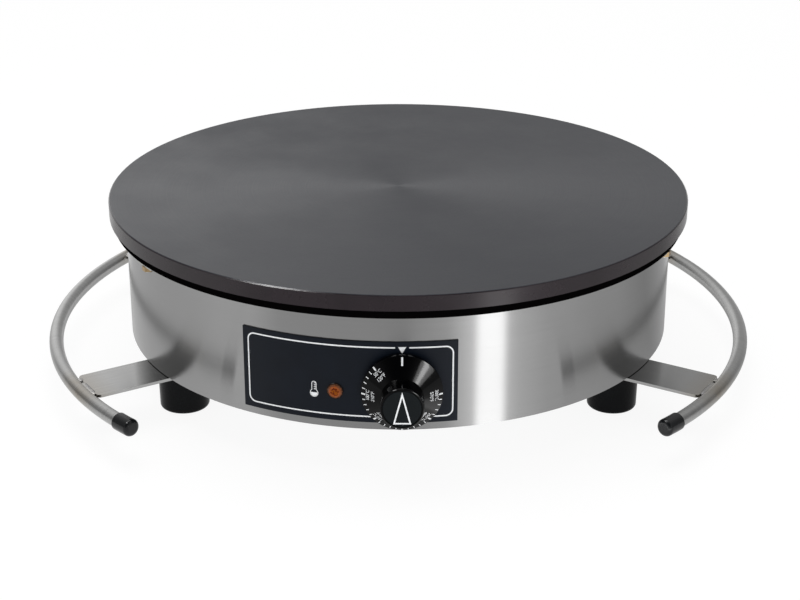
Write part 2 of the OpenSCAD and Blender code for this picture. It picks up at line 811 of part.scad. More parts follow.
module knob_disc() {
    color([0.09, 0.09, 0.1]) on_knob_axis() translate([0, 0, knob_back + knob_len - knob_disc_t])
        cylinder(r = knob_disc_d / 2 - seat_gap, h = knob_disc_t);
}

// The spindle has a flat where the knob sits on it
module thermostat_spindle() {
    color("silver") on_knob_axis() difference() {
        translate([0, 0, thermo_y - spindle_sunk])
            cylinder(d = spindle_d, h = spindle_tip - thermo_y + spindle_sunk);
        translate([-spindle_d, spindle_flat, knob_back])
            cube([2 * spindle_d, spindle_d, knob_len]);
    }
}

// A box with a threaded bush on its front and four blade terminals behind
module thermostat_body() {
    bush_front = bracket_y + bush_len;
    color([0.83, 0.8, 0.72]) on_knob_axis() difference() {
        union() {
            translate([-thermo_w / 2, -thermo_h / 2, thermo_y - thermo_d])
                cube([thermo_w, thermo_h, thermo_d]);
            translate([0, 0, thermo_y - hook]) cylinder(d = bush_d, h = bush_front - thermo_y + hook);
            for (x = [-blade_x, blade_x]) for (y = [-blade_y, blade_y])
                translate([x - blade[0] / 2, y - blade[1] / 2, thermo_y - thermo_d - blade[2]])
                    cube([blade[0], blade[1], blade[2] + hook]);
        }
        translate([0, 0, thermo_y - spindle_sunk - end_gap])
            cylinder(r = spindle_d / 2 + running_fit,
                h = bush_front - thermo_y + spindle_sunk + end_gap + cut);
    }
}

module thermostat_nut() {
    color("silver") on_knob_axis() translate([0, 0, bracket_y])
        hex_nut(thermo_nut_af, thermo_nut_h, bush_d / 2 + seat_gap);
}

// An angle bracket that stands on the base plate
module thermostat_bracket() {
    bracket_h = knob_z - base_top + bracket_over;
    color("silver") difference() {
        translate([knob_x - bracket_w / 2, -bracket_y, base_top]) {
            cube([bracket_w, bracket_t, bracket_h]);
            cube([bracket_w, bracket_foot, bracket_t]);
        }
        on_knob_axis() translate([0, 0, thermo_y - cut])
            cylinder(r = bush_d / 2 + hole_fit, h = bracket_t + 2 * cut);
        each_bracket_screw() translate([0, 0, base_top - cut])
            cylinder(r = screw_d / 2 + seat_gap, h = bracket_t + 2 * cut);
    }
}

// ------------------------------------------------------------ sensor

clip_z = web_z - seat_gap;
clip_side = sensor_d / 2 + seat_gap + clip_wall;
sensor_screw_x = clip_side + seat_gap + screw_head_d / 2;
sensor_hole = screw_len - clip_wall - seat_gap + end_gap;

module sensor_rod() {
    color([0.75, 0.6, 0.45]) at_az(sensor_az) translate([sensor_r, -sensor_len / 2, sensor_z])
        rotate([-90, 0, 0]) cylinder(d = sensor_d, h = sensor_len);
}

// A saddle that presses the rod against the plate, with a flange for its screw
module sensor_clip() {
    saddle_h = sensor_d + seat_gap + clip_wall;
    flange = sensor_screw_x + screw_head_d / 2 + clip_wall / 2;
    color("silver") at_az(sensor_az) difference() {
        union() {
            translate([sensor_r - clip_side, -clip_w / 2, clip_z - saddle_h])
                cube([2 * clip_side, clip_w, saddle_h]);
            translate([sensor_r, -clip_w / 2, clip_z - clip_wall])
                cube([flange, clip_w, clip_wall]);
        }
        translate([sensor_r, -clip_w, sensor_z]) rotate([-90, 0, 0])
            cylinder(r = sensor_d / 2 + seat_gap, h = 2 * clip_w);
        translate([sensor_r - sensor_d / 2 - seat_gap, -clip_w, sensor_z])
            cube([sensor_d + 2 * seat_gap, 2 * clip_w, sensor_d]);
        translate([sensor_r + sensor_screw_x, 0, clip_z - clip_wall - cut])
            cylinder(r = screw_d / 2 + seat_gap, h = clip_wall + 2 * cut);
    }
}

// A point on an azimuth, and one that lies off it along the tangent
function polar(az, r) = [r * sin(az), -r * cos(az)];
function beside(az, r, along) = polar(az, r) + along * [cos(az), sin(az)];
// Where the capillary tube goes down through the tray
drop_point = beside(sensor_az, sensor_r, -sensor_len / 2 - 12);

module capillary_tube() {
    rod_end = beside(sensor_az, sensor_r, -sensor_len / 2 - seat_gap);
    thermo_back = thermo_d - thermo_y + seat_gap;
    thermo_x = knob_x + blade_x;
    color([0.72, 0.45, 0.3]) tube_along([
        concat(rod_end, sensor_z),
        concat(beside(sensor_az, sensor_r, -sensor_len / 2 - 7), sensor_z),
        concat(drop_point, sheath_z - sheath_d),
        concat(drop_point, reflector_top),
        concat(drop_point, tray_z - 3),
        [drop_point[0] - 4, drop_point[1] - 12, tray_z - 10],
        [thermo_x, thermo_back + 18, knob_z + 4],
        [thermo_x, thermo_back + 6, knob_z + 2],
        [thermo_x, thermo_back, knob_z + 2]
    ], capillary_d, [1, 0.2, 0.1]);
}

// ------------------------------------------------------------ pilot lamp

// A low dome with a flange that rests on the fascia
module pilot_lens() {
    dome_r = lens_d / 2 - lens_ledge;
    dome_h = lens_h - lens_flange;
    ball_r = (pow(dome_r, 2) + pow(dome_h, 2)) / (2 * dome_h);
    color([0.85, 0.42, 0.1]) on_lamp_axis() translate([0, 0, lamp_out_r]) {
        cylinder(d = lens_d, h = lens_flange);
        intersection() {
            translate([0, 0, lens_flange]) cylinder(r = dome_r, h = lens_h);
            translate([0, 0, lens_h - ball_r]) sphere(r = ball_r, $fn = 96);
        }
    }
}

lamp_pin = [0.8, 3, 6];
module pilot_lamp_body() {
    pin_x = lamp_d / 4;
    color([0.9, 0.88, 0.82]) on_lamp_axis() translate([0, 0, lamp_out_r - lamp_len]) {
        cylinder(d = lamp_d, h = lamp_len - seat_gap);
        for (x = [-pin_x, pin_x])
            translate([x - lamp_pin[0] / 2, -lamp_pin[1] / 2, -lamp_pin[2]])
                cube([lamp_pin[0], lamp_pin[1], lamp_pin[2] + hook]);
    }
}

// A spring ring that holds the lamp against the shell
module pilot_lamp_clip() {
    clip_r = lamp_d / 2 + lamp_clip_w;
    clip_seat = sqrt(pow(shell_in, 2) - pow(clip_r, 2)) - seat_gap;
    color("silver") on_lamp_axis() translate([0, 0, clip_seat - lamp_clip_h]) difference() {
        cylinder(r = clip_r, h = lamp_clip_h);
        translate([0, 0, -cut])
            cylinder(r = lamp_d / 2 + seat_gap, h = lamp_clip_h + 2 * cut);
    }
}

// ------------------------------------------------------------ heating

// Half of the angle that a ring leaves open at the rear for its legs
function open_angle(r) = asin(leg_x / r);
// Where the legs of a ring stand, behind the centre
function leg_at(r) = [leg_x, r * cos(open_angle(r))];

module heating_element(r) {
    a = open_angle(r);
    ferrule_z = sheath_z - sheath_d;
    color([0.42, 0.4, 0.38]) {
        translate([0, 0, sheath_z]) rotate([0, 0, 90 + a])
            rotate_extrude(angle = 360 - 2 * a, $fn = large_fn)
                translate([r, 0]) circle(d = sheath_d);
        for (s = [-1, 1]) translate([s * leg_at(r)[0], leg_at(r)[1], 0]) {
            translate([0, 0, ferrule_z]) cylinder(d = ferrule_d, h = sheath_d + ferrule_up);
            translate([0, 0, leg_end_z]) cylinder(d = sheath_d, h = ferrule_z + cut - leg_end_z);
        }
    }
}

// Puts the children at every leg
module each_leg() {
    for (r = ring_r) for (s = [-1, 1]) translate([s * leg_at(r)[0], leg_at(r)[1], 0]) children();
}

// Flat bars that join the legs of the three rings side by side
module element_links() {
    link_w = sheath_d + 2 * link_edge;
    first = leg_at(ring_r[2])[1];
    last = leg_at(ring_r[0])[1];
    color([0.75, 0.5, 0.35]) for (s = [-1, 1]) difference() {
        translate([s * leg_x - link_w / 2, first - link_w / 2, leg_end_z + link_lift])
            cube([link_w, last - first + link_w, link_t]);
        each_leg() translate([0, 0, leg_end_z])
            cylinder(r = sheath_d / 2 + seat_gap, h = link_lift + link_t + cut);
    }
}

module clamp_bars() {
    inner = ring_r[2] - sheath_d;
    outer = ring_r[0] + sheath_d;
    color("silver") difference() {
        for (az = clamp_az) at_az(az)
            translate([inner, -bar_w / 2, bar_top - bar_t]) cube([outer - inner, bar_w, bar_t]);
        each_clamp_stud() translate([0, 0, bar_top - bar_t - cut])
            cylinder(r = clamp_stud_d / 2 + hole_fit, h = bar_t + 2 * cut);
    }
}

module clamp_studs() {
    low = clamp_nut_top - clamp_nut_h - stud_proud;
    color("silver") each_clamp_stud() translate([0, 0, low])
        cylinder(d = clamp_stud_d, h = web_z + clamp_depth - seat_gap - low);
}

module clamp_nuts() {
    color("silver") each_clamp_stud() translate([0, 0, clamp_nut_top - clamp_nut_h])
        hex_nut(clamp_af, clamp_nut_h, clamp_stud_d / 2 + seat_gap);
}

// Holes that the reflector, the blanket and the tray share, through a sheet from z up
module tray_cuts(z, t) {
    translate([0, 0, z - cut]) {
        each_leg() cylinder(r = sheath_d / 2 + leg_gap, h = t + 2 * cut);
        translate([drop_point[0], drop_point[1], 0]) cylinder(d = drop_hole, h = t + 2 * cut);
    }
}

module heat_reflector() {
    color([0.8, 0.8, 0.82]) difference() {
        translate([0, 0, reflector_top - reflector_t])
            cylinder(r = tray_r - tray_t - seat_gap, h = reflector_t, $fn = large_fn);
        tray_cuts(reflector_top - reflector_t, reflector_t);
    }
}

module insulation_blanket() {
    color([0.9, 0.88, 0.8]) difference() {
        translate([0, 0, blanket_z])
            cylinder(r = tray_r - tray_t - seat_gap, h = blanket_t, $fn = large_fn);
        tray_cuts(blanket_z, blanket_t);
        for (az = pillar_az) at_az(az) translate([pillar_r, 0, blanket_z - cut])
            cylinder(r = screw_head_d / 2 + leg_gap, h = screw_head_h + end_gap + cut);
    }
}

module insulation_tray() {
    color([0.65, 0.66, 0.68]) difference() {
        translate([0, 0, tray_z])
            cylinder(r = tray_r, h = reflector_top - tray_z, $fn = large_fn);
        translate([0, 0, blanket_z])
            cylinder(r = tray_r - tray_t, h = reflector_top, $fn = large_fn);
        tray_cuts(tray_z, tray_t);
        for (az = pillar_az) at_az(az) translate([pillar_r, 0, tray_z - cut])
            cylinder(r = screw_d / 2 + hole_fit, h = tray_t + 2 * cut);
    }
}

// Pillars between the base plate and the tray, tapped at both ends
module tray_pillars() {
    pillar_h = tray_z - base_top;
    color("silver") for (az = pillar_az) at_az(az) translate([pillar_r, 0, base_top]) difference() {
        cylinder(d = pillar_d, h = pillar_h);
        for (z = [-cut, pillar_h - screw_len]) translate([0, 0, z])
            cylinder(r = screw_d / 2 + seat_gap, h = screw_len + cut);
    }
}

// ------------------------------------------------------------ mains inlet

module cable_gland_body() {
    color([0.12, 0.12, 0.13]) on_gland_axis() difference() {
        union() {
            translate([0, 0, gland_seat]) rotate([0, 0, 30]) hexagon(gland_af, gland_hex);
            translate([0, 0, gland_seat - gland_inner])
                cylinder(d = gland_thread, h = gland_inner + gland_hex + gland_cap / 2 - seat_gap);
        }
        translate([0, 0, gland_seat - gland_inner - cut])
            cylinder(d = gland_bore, h = gland_inner + gland_hex + gland_cap + cut);
    }
}

module cable_gland_cap() {
    cap_z = gland_seat + gland_hex + seat_gap;
    body = gland_cap - seat_gap;
    sleeve_d = gland_af - 1;
    straight = body * 0.7;
    mouth_wall = 3;
    color([0.12, 0.12, 0.13]) on_gland_axis() translate([0, 0, cap_z]) difference() {
        union() {
            rotate([0, 0, 30]) hexagon(gland_af, body / 2);
            cylinder(d = sleeve_d, h = straight);
            translate([0, 0, straight])
                cylinder(d1 = sleeve_d, d2 = gland_bore + 2 * mouth_wall, h = body - straight);
        }
        translate([0, 0, -cut]) cylinder(d = gland_bore, h = body + 2 * cut);
        translate([0, 0, -cut])
            cylinder(r = gland_thread / 2 + seat_gap, h = gland_cap / 2 - seat_gap + cut);
    }
}

module cable_gland_nut() {
    color([0.12, 0.12, 0.13]) on_gland_axis() translate([0, 0, gland_nut_seat - gland_nut_h])
        hex_nut(gland_af, gland_nut_h, gland_thread / 2 + seat_gap);
}

// Three poles side by side, each with a wire hole and two screw holes
block_pole = block_w / 3;
block_hole_z = block_h * 0.55;

module terminal_block() {
    groove_w = 1.2;
    groove_floor = block_h * 0.75;
    color([0.88, 0.86, 0.8]) translate([-block_w / 2, block_y - block_d / 2, base_top]) difference() {
        cube([block_w, block_d, block_h]);
        for (k = [0 : 2]) translate([block_pole * (k + 0.5), 0, block_hole_z]) {
            translate([0, -cut, 0]) rotate([-90, 0, 0])
                cylinder(d = block_bore, h = block_d + 2 * cut);
            for (y = [block_d / 4, block_d * 3 / 4]) translate([0, y, 0])
                cylinder(d = block_screw_d, h = block_h);
        }
        for (k = [1, 2]) translate([block_pole * k - groove_w / 2, -cut, groove_floor])
            cube([groove_w, block_d + 2 * cut, block_h]);
    }
}

module earth_stud() {
    color("silver") translate([earth_x, earth_y, shell_z])
        cylinder(d = stud_d, h = base_t + 2 * brass_h + lug_t + stud_proud);
}

// Where the leads lie on the base plate, and where they meet the other pieces
lead_z = base_top + wire_d / 2 + lead_gap;
hole_z = base_top + block_hole_z;
block_front = block_y - block_d / 2;
block_rear = block_y + block_d / 2;
terminal_y = thermo_d + blade[2] - thermo_y + seat_gap;
leg_y = leg_at(ring_r[0])[1];
leg_tip = leg_end_z - seat_gap;

// Live, neutral and earth leads from the terminal block
module mains_wires() {
    live_x = knob_x - blade_x;
    color([0.45, 0.25, 0.15]) tube_along([
        [-block_pole, block_front + 6, hole_z], [-block_pole, block_front - 4, hole_z],
        [-block_pole, block_front - 18, lead_z + 2], [-block_pole, block_front - 34, lead_z],
        [-block_pole + 2, 0, lead_z], [-12, terminal_y + 27, lead_z + 1],
        [live_x, terminal_y + 11, knob_z - blade_y - 3], [live_x, terminal_y, knob_z - blade_y]
    ], wire_d, [1, 0.05, 0.1]);
    color([0.2, 0.3, 0.6]) tube_along([
        [0, block_rear - 5, hole_z], [0, block_rear + 4, hole_z],
        [-leg_x / 2, leg_y - 9, hole_z + 3], [-leg_x, leg_y - 1, hole_z + 10],
        [-leg_x, leg_y, leg_tip - 6], [-leg_x, leg_y, leg_tip]
    ], wire_d, [1, 0.05, 0.1]);
    color([0.3, 0.55, 0.2]) tube_along([
        [block_pole, block_front + 6, hole_z], [block_pole, block_front - 5, hole_z],
        [block_pole - 5, block_front - 16, lead_z + 4], [0, block_front - 24, lead_z + 4],
        [-24, block_front - 20, lead_z + 5],
        [earth_x + 14, earth_y - 8, base_top + brass_h + lug_t / 2 + 1],
        [earth_x + brass_af / 2, earth_y - 1, base_top + brass_h + lug_t / 2]
    ], thin_wire_d, [0.05, 0.1, 1]);
}

// The lead from the thermostat to the elements, and the lead to the pilot lamp
module control_wires() {
    load_x = knob_x + blade_x;
    lamp_x = knob_x - blade_x;
    lamp_back = polar(lamp_az, lamp_out_r - lamp_len - lamp_pin[2] - seat_gap);
    beside_x = block_w / 2 + 8;
    color([0.75, 0.72, 0.68]) {
        tube_along([
            [load_x, terminal_y, knob_z - blade_y], [load_x, terminal_y + 11, knob_z - blade_y - 3],
            [18, terminal_y + 27, lead_z + 1], [20, 0, lead_z],
            [beside_x - 6, block_y - block_d, lead_z], [beside_x, block_y, lead_z + 2],
            [beside_x - 12, leg_y, leg_end_z - 26], [leg_x + 4, leg_y, leg_end_z - 14],
            [leg_x, leg_y, leg_tip - 6], [leg_x, leg_y, leg_tip]
        ], wire_d, [1, 0.05, 0.4]);
        tube_along([
            [lamp_x, terminal_y, knob_z + blade_y], [lamp_x - 2, terminal_y + 7, knob_z + blade_y - 1],
            [lamp_x - 12, terminal_y + 9, knob_z + 4],
            [lamp_back[0] + 3, lamp_back[1] + 12, lamp_z], [lamp_back[0], lamp_back[1], lamp_z]
        ], thin_wire_d, [0.05, 0.1, 1]);
    }
}

// ------------------------------------------------------------ assembly

griddle_plate();
plate_studs();
plate_lugs();
brass_nuts();
housing_shell();
base_plate();
base_tabs();
m4_screws();
for (c = CORNERS) {
    handle_strip(c);
    end_cap(c);
    foot(c);
    foot_stud(c);
}
for (s = SIDES) {
    handle_tube(s[1]);
}
foot_nuts();
fascia_panel();
knob();
knob_disc();
thermostat_spindle();
thermostat_body();
thermostat_nut();
thermostat_bracket();
sensor_rod();
sensor_clip();
capillary_tube();
pilot_lens();
pilot_lamp_body();
pilot_lamp_clip();
for (k = [0 : 2]) {
    heating_element(ring_r[k]);
}
element_links();
clamp_bars();
clamp_studs();
clamp_nuts();
heat_reflector();
insulation_blanket();
insulation_tray();
tray_pillars();
cable_gland_body();
cable_gland_cap();
cable_gland_nut();
terminal_block();
earth_stud();
mains_wires();
control_wires();
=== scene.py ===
"""Looks of a round electric crepe maker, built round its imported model.

Everything is in metres, in the model's own frame: +Z up, the front at -Y, the
origin on the floor below the centre. An azimuth is counted from the front,
positive towards +X.
"""
import math

import bpy
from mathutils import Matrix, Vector, noise
from mathutils.bvhtree import BVHTree


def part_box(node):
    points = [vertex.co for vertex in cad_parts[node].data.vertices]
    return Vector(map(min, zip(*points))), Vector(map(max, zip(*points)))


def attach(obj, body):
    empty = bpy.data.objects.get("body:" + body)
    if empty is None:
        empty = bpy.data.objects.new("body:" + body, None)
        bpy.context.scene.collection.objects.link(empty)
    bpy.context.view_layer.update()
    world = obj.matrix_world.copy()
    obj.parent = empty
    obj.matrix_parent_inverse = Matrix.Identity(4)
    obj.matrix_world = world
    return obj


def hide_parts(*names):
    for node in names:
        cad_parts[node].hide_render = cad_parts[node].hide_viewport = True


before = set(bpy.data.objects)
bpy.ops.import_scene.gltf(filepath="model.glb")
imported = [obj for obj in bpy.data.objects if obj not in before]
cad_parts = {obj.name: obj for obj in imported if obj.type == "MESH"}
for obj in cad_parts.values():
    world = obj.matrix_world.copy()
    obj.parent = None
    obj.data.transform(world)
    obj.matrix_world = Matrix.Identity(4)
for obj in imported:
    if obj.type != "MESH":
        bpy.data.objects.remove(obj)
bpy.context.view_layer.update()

MM = 0.001
HOUSING = "cooker"
KNOB_BODY = "control_knob"
SIDES = (-1, 1)

# The camera, as the photograph was taken
CAMERA_PLACE = (0.0012, -1.1937, 0.5384)
CAMERA_TILT = 67.32
CAMERA_LENS = 81.35

# The handles' bend, and the strips that meet it
BEND_R = 249.7 * MM
TUBE_LOW, TUBE_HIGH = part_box("handle_tube_right")
TUBE_R = (TUBE_HIGH.z - TUBE_LOW.z) / 2
STRIP_ANGLE = math.radians(31.5)
BEND_X = TUBE_HIGH.x - TUBE_R - BEND_R
STRIP_REACH = BEND_X * math.cos(STRIP_ANGLE) + math.sqrt(
    BEND_R ** 2 - (BEND_X * math.sin(STRIP_ANGLE)) ** 2)
JUNCTION = (STRIP_REACH * math.cos(STRIP_ANGLE), STRIP_REACH * math.sin(STRIP_ANGLE))


# ---------------------------------------------------------------- finishes

class Finish:
    """One material: a Principled shader and the nodes that drive it."""

    def __init__(self, name, **sockets):
        self.material = bpy.data.materials.new(name)
        self.material.use_nodes = True
        self.tree = self.material.node_tree
        self.shader = self.tree.nodes["Principled BSDF"]
        for socket, value in sockets.items():
            self.set(socket.replace("_", " "), value)

    def feed(self, socket, value):
        """Links a socket to the value, or sets it where the value is plain."""
        if isinstance(value, bpy.types.NodeSocket):
            self.tree.links.new(value, socket)
        elif isinstance(socket, bpy.types.NodeSocketColor):
            socket.default_value = (*value[:3], 1)
        else:
            socket.default_value = value

    def set(self, socket, value):
        """Sets or links one of the shader's own sockets."""
        self.feed(self.shader.inputs[socket], value)

    def node(self, kind, inputs, **settings):
        """A new node; inputs are given by their place or their name."""
        made = self.tree.nodes.new("ShaderNode" + kind)
        for key, value in settings.items():
            setattr(made, key, value)
        for key, value in inputs.items():
            self.feed(made.inputs[key], value)
        return made

    def math(self, operation, a, b=0.0):
        return self.node("Math", {0: a, 1: b}, operation=operation).outputs[0]

    def add(self, *terms):
        total = terms[0]
        for term in terms[1:]:
            total = self.math("ADD", total, term)
        return total

    def times(self, a, b):
        return self.math("MULTIPLY", a, b)

    def vector(self, operation, a, b):
        made = self.node("VectorMath", {0: a, 1: b}, operation=operation)
        return made.outputs["Value" if operation in ("DOT_PRODUCT", "DISTANCE") else "Vector"]

    def join(self, x, y=0.0, z=0.0):
        return self.node("CombineXYZ", {0: x, 1: y, 2: z}).outputs[0]

    def split(self, vector):
        return self.node("SeparateXYZ", {0: vector}).outputs

    def place(self):
        """The point on the surface, in the model's frame."""
        return self.node("TexCoord", {}).outputs["Object"]

    def polar(self, centre=(0, 0), radius=1.0):
        """Arc length at a radius, distance from the centre, and height."""
        x, y, z = self.split(self.vector("SUBTRACT", self.place(), (*centre, 0)))
        turn = self.math("ARCTAN2", x, self.times(y, -1))
        reach = self.math("SQRT", self.add(self.times(x, x), self.times(y, y)))
        return self.times(turn, radius), reach, z

    def tangent(self, centre=(0, 0)):
        """The direction round a vertical axis."""
        away = self.vector("SUBTRACT", self.place(), (*centre, 0))
        return self.vector("CROSS_PRODUCT", (0, 0, 1), away)

    def noise(self, where, scale, detail=2.0, roughness=0.5):
        """Noise about 0.5; scale is in cells per metre."""
        inputs = {"Vector": where, "Scale": scale, "Detail": detail, "Roughness": roughness}
        return self.node("TexNoise", inputs).outputs[0]

    def span(self, value, low, high, out_low=0.0, out_high=1.0):
        """Maps low to out_low and high to out_high, and holds it beyond them."""
        return self.node("MapRange", {0: value, 1: low, 2: high, 3: out_low, 4: out_high}).outputs[0]

    def mix(self, factor, a, b):
        """A colour between two colours."""
        made = self.tree.nodes.new("ShaderNodeMix")
        made.data_type = "RGBA"
        for key, value in ((0, factor), (6, a), (7, b)):
            self.feed(made.inputs[key], value)
        return made.outputs[2]

    def bump(self, height, depth):
        """Raises the surface by height times depth."""
        self.set("Normal", self.node("Bump", {"Height": height, "Distance": depth}).outputs[0])


def shade(colour, factor):
    """The colour made lighter or darker."""
    return tuple(channel * factor for channel in colour)


def griddle_iron():
    """A turned and seasoned cooking face, and a dark machined rim band."""
    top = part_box("griddle_plate")[1].z
    f = Finish("griddle_turned", Specular_IOR_Level=0.3, Anisotropic=0.6, Anisotropic_Rotation=0.25)
    f.set("Tangent", f.tangent())
    _, reach, z = f.polar()
    face = f.span(z, top - 0.5 * MM, top - 0.2 * MM)
    edge_low = f.span(z, top - 0.85 * MM, top - 0.75 * MM)
    edge = f.times(edge_low, f.span(z, top - 0.05 * MM, top - 0.01 * MM, 1.0, 0.0))
    rings = f.noise(f.join(reach), 900, 3, 0.7)
    film = f.noise(f.place(), 26, 4, 0.6)
    specks = f.noise(f.place(), 700, 2, 0.6)
    mottle = f.add(f.times(film, 0.6), f.times(specks, 0.4))
    face_tone = f.mix(f.span(mottle, 0.35, 0.65), (0.0285, 0.0305, 0.0372), (0.043, 0.0447, 0.0518))
    rim_tone = f.mix(f.span(film, 0.35, 0.65), (0.0105, 0.006, 0.0085), (0.0155, 0.0095, 0.013))
    f.set("Base Color", f.mix(face, rim_tone, face_tone))
    f.set("Roughness", f.add(f.span(film, 0.3, 0.7, 0.36, 0.46), f.span(rings, 0.3, 0.7, -0.03, 0.03),
                             f.times(edge, -0.2), f.span(z, top - 1.2 * MM, top - 0.9 * MM, -0.14, 0.0)))
    f.bump(f.add(f.times(rings, 0.5), f.times(specks, 0.6)), 0.03 * MM)
    return f.material


def cast_skin_and_shade():
    """The sooty skin of the casting, as it came from the sand, made near black and without shine so that it
    is also painted shade of the gap under the rim.
    """
    f = Finish("cast_skin_and_shade", Roughness=0.85, Specular_IOR_Level=0.0)
    grain = f.noise(f.place(), 1500, 2, 0.6)
    # Near-black colour: partly the casting's own dark skin, partly painted shade under the rim.
    f.set("Base Color", f.mix(f.span(grain, 0.3, 0.7), (0.0011, 0.0010, 0.0011), (0.0022, 0.0019, 0.0020)))
    f.bump(grain, 0.2 * MM)
    return f.material


def brush(f, marks, tone, roughness, tint=None, contrast=0.033):
    """Gives a finish the streaks of brushed stainless steel, and heat tint where it was welded."""
    clouds = f.noise(f.place(), 14, 3, 0.55)
    streaks = f.mix(f.span(marks, 0.3, 0.7), shade(tone, 1 - contrast), shade(tone, 1 + contrast))
    colour = f.mix(f.span(clouds, 0.3, 0.7, 0.0, 0.3), streaks, shade(tone, 0.9))
    if tint is not None:
        colour = f.mix(tint, colour, (tone[0] * 0.72, tone[1] * 0.62, tone[2] * 0.48))
    f.set("Base Color", colour)
    f.set("Roughness", f.add(f.span(marks, 0.3, 0.7, roughness - 0.012, roughness + 0.015),
                             f.span(clouds, 0.3, 0.7, -0.01, 0.01)))
    f.bump(marks, 0.0025 * MM)
    return f.material


def housing_steel():
    """Stainless sheet, brushed round the drum."""
    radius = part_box("housing_shell")[1].x
    f = Finish("drum_brushed", Metallic=1.0, Anisotropic=0.95, Anisotropic_Rotation=0.25)
    f.set("Tangent", f.tangent())
    arc, _, z = f.polar(radius=radius)
    fine = f.noise(f.join(f.times(arc, 14), 0.0, f.times(z, 1600)), 1, 3, 0.6)
    broad = f.noise(f.join(f.times(arc, 5), 7.0, f.times(z, 330)), 1, 2, 0.5)
    marks = f.add(f.times(fine, 0.6), f.times(broad, 0.4))
    return brush(f, marks, (0.28, 0.28, 0.28), 0.172)


def strip_steel(side):
    """Flat bar, brushed along its length; side is the sign of x times y along the bar."""
    along = (math.cos(STRIP_ANGLE), side * math.sin(STRIP_ANGLE), 0)
    across = (-along[1], along[0], 0)
    f = Finish("strip_brushed", Metallic=1.0, Anisotropic=0.8)
    f.set("Tangent", f.join(*across))
    place = f.place()
    length = f.vector("DOT_PRODUCT", place, along)
    width = f.vector("DOT_PRODUCT", place, across)
    marks = f.noise(f.join(f.times(length, 14), f.times(width, 800), 0.0), 1, 3, 0.7)
    tint = f.span(f.math("ABSOLUTE", length), 0.222, 0.243, 0.0, 0.55)
    return brush(f, marks, (0.35, 0.35, 0.347), 0.18, tint, 0.12)


def tube_steel():
    """Stainless tube, fine brushed, tinted where the strips are welded to it."""
    f = Finish("tube_brushed", Metallic=1.0)
    x, y, z = f.split(f.place())
    corner = f.join(f.math("ABSOLUTE", x), f.math("ABSOLUTE", y), z)
    weld = (JUNCTION[0], JUNCTION[1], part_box("handle_strip_front_left")[1].z)
    reach = f.vector("DISTANCE", corner, weld)
    arc = f.times(f.math("ARCTAN2", y, f.math("ABSOLUTE", x)), BEND_R)
    marks = f.noise(f.join(f.times(arc, 900), f.times(z, 60), f.times(x, 40)), 1, 3, 0.6)
    patch = f.noise(f.place(), 90, 2)
    tint = f.times(f.span(reach, 0.006, 0.03, 0.75, 0.0), f.span(patch, 0.3, 0.7, 0.5, 1.0))
    return brush(f, marks, (0.35, 0.35, 0.346), 0.32, tint, 0.12)


def rolled_steel():
    """Plain rolled sheet of the base plate, with faint scratches."""
    f = Finish("base_rolled", Metallic=1.0)
    x, y, z = f.split(f.place())
    marks = f.noise(f.join(f.times(x, 500), f.times(y, 10), z), 1, 3, 0.6)
    return brush(f, marks, (0.3, 0.3, 0.302), 0.36)


def plated_steel():
    """Zinc plate, slightly clouded."""
    f = Finish("zinc_plate", Metallic=1.0)
    clouds = f.noise(f.place(), 160, 3, 0.6)
    f.set("Base Color", f.mix(f.span(clouds, 0.3, 0.7), (0.36, 0.36, 0.34), (0.48, 0.48, 0.46)))
    f.set("Roughness", f.span(clouds, 0.3, 0.7, 0.24, 0.4))
    f.bump(f.noise(f.place(), 1400), 0.01 * MM)
    return f.material


def brass():
    """Turned brass, a little dull."""
    f = Finish("brass_turned", Metallic=1.0)
    dull = f.noise(f.place(), 300, 3, 0.6)
    f.set("Base Color", f.mix(f.span(dull, 0.3, 0.7), (0.3, 0.21, 0.11), (0.42, 0.31, 0.18)))
    f.set("Roughness", f.span(dull, 0.3, 0.7, 0.25, 0.42))
    f.bump(f.noise(f.place(), 1500), 0.01 * MM)
    return f.material


def moulded(name, tone, roughness, grain=1200, depth=0.02, level=0.3, wear=1.35):
    """Moulded plastic or rubber with a fine grain and slight handling marks."""
    f = Finish(name, Specular_IOR_Level=level)
    fine = f.noise(f.place(), grain, 3, 0.6)
    handled = f.noise(f.place(), 45, 3, 0.6)
    f.set("Base Color", f.mix(f.span(handled, 0.35, 0.7), tone, shade(tone, wear)))
    f.set("Roughness", f.add(f.span(handled, 0.3, 0.7, roughness - 0.05, roughness + 0.06),
                             f.span(fine, 0.3, 0.7, -0.02, 0.02)))
    f.bump(fine, depth * MM)
    return f.material


def copper():
    """Drawn copper, dulled."""
    f = Finish("copper_drawn", Metallic=1.0)
    dull = f.noise(f.place(), 220, 3, 0.6)
    f.set("Base Color", f.mix(f.span(dull, 0.3, 0.7), (0.3, 0.15, 0.09), (0.5, 0.27, 0.17)))
    f.set("Roughness", f.span(dull, 0.3, 0.7, 0.3, 0.5))
    return f.material


def amber_lens():
    """Amber moulding: a mottled heart, a bright and a pale ring, and darker out over the flange."""
    low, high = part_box("pilot_lens")
    f = Finish("amber_moulding", Roughness=0.12, Specular_IOR_Level=0.12)
    reach = f.vector("DISTANCE", f.place(), (low + high) / 2)
    cells = f.noise(f.place(), 1000, 2)
    reach = f.add(reach, f.span(cells, 0.3, 0.7, -0.35 * MM, 0.35 * MM))
    heart = f.mix(f.span(cells, 0.42, 0.58), (0.09, 0.011, 0.001), (0.24, 0.055, 0.001))
    faces = f.mix(f.span(reach, 2.7 * MM, 3.1 * MM), heart, (0.29, 0.07, 0.015))
    ring = f.mix(f.span(reach, 3.5 * MM, 3.9 * MM), faces, (0.17, 0.062, 0.028))
    # Darker from 4.1 mm to 4.9 mm out, over the flange.
    f.set("Base Color", f.mix(f.span(reach, 4.1 * MM, 4.9 * MM), ring, (0.013, 0.007, 0.0045)))
    f.bump(f.noise(f.place(), 500), 0.05 * MM)
    return f.material


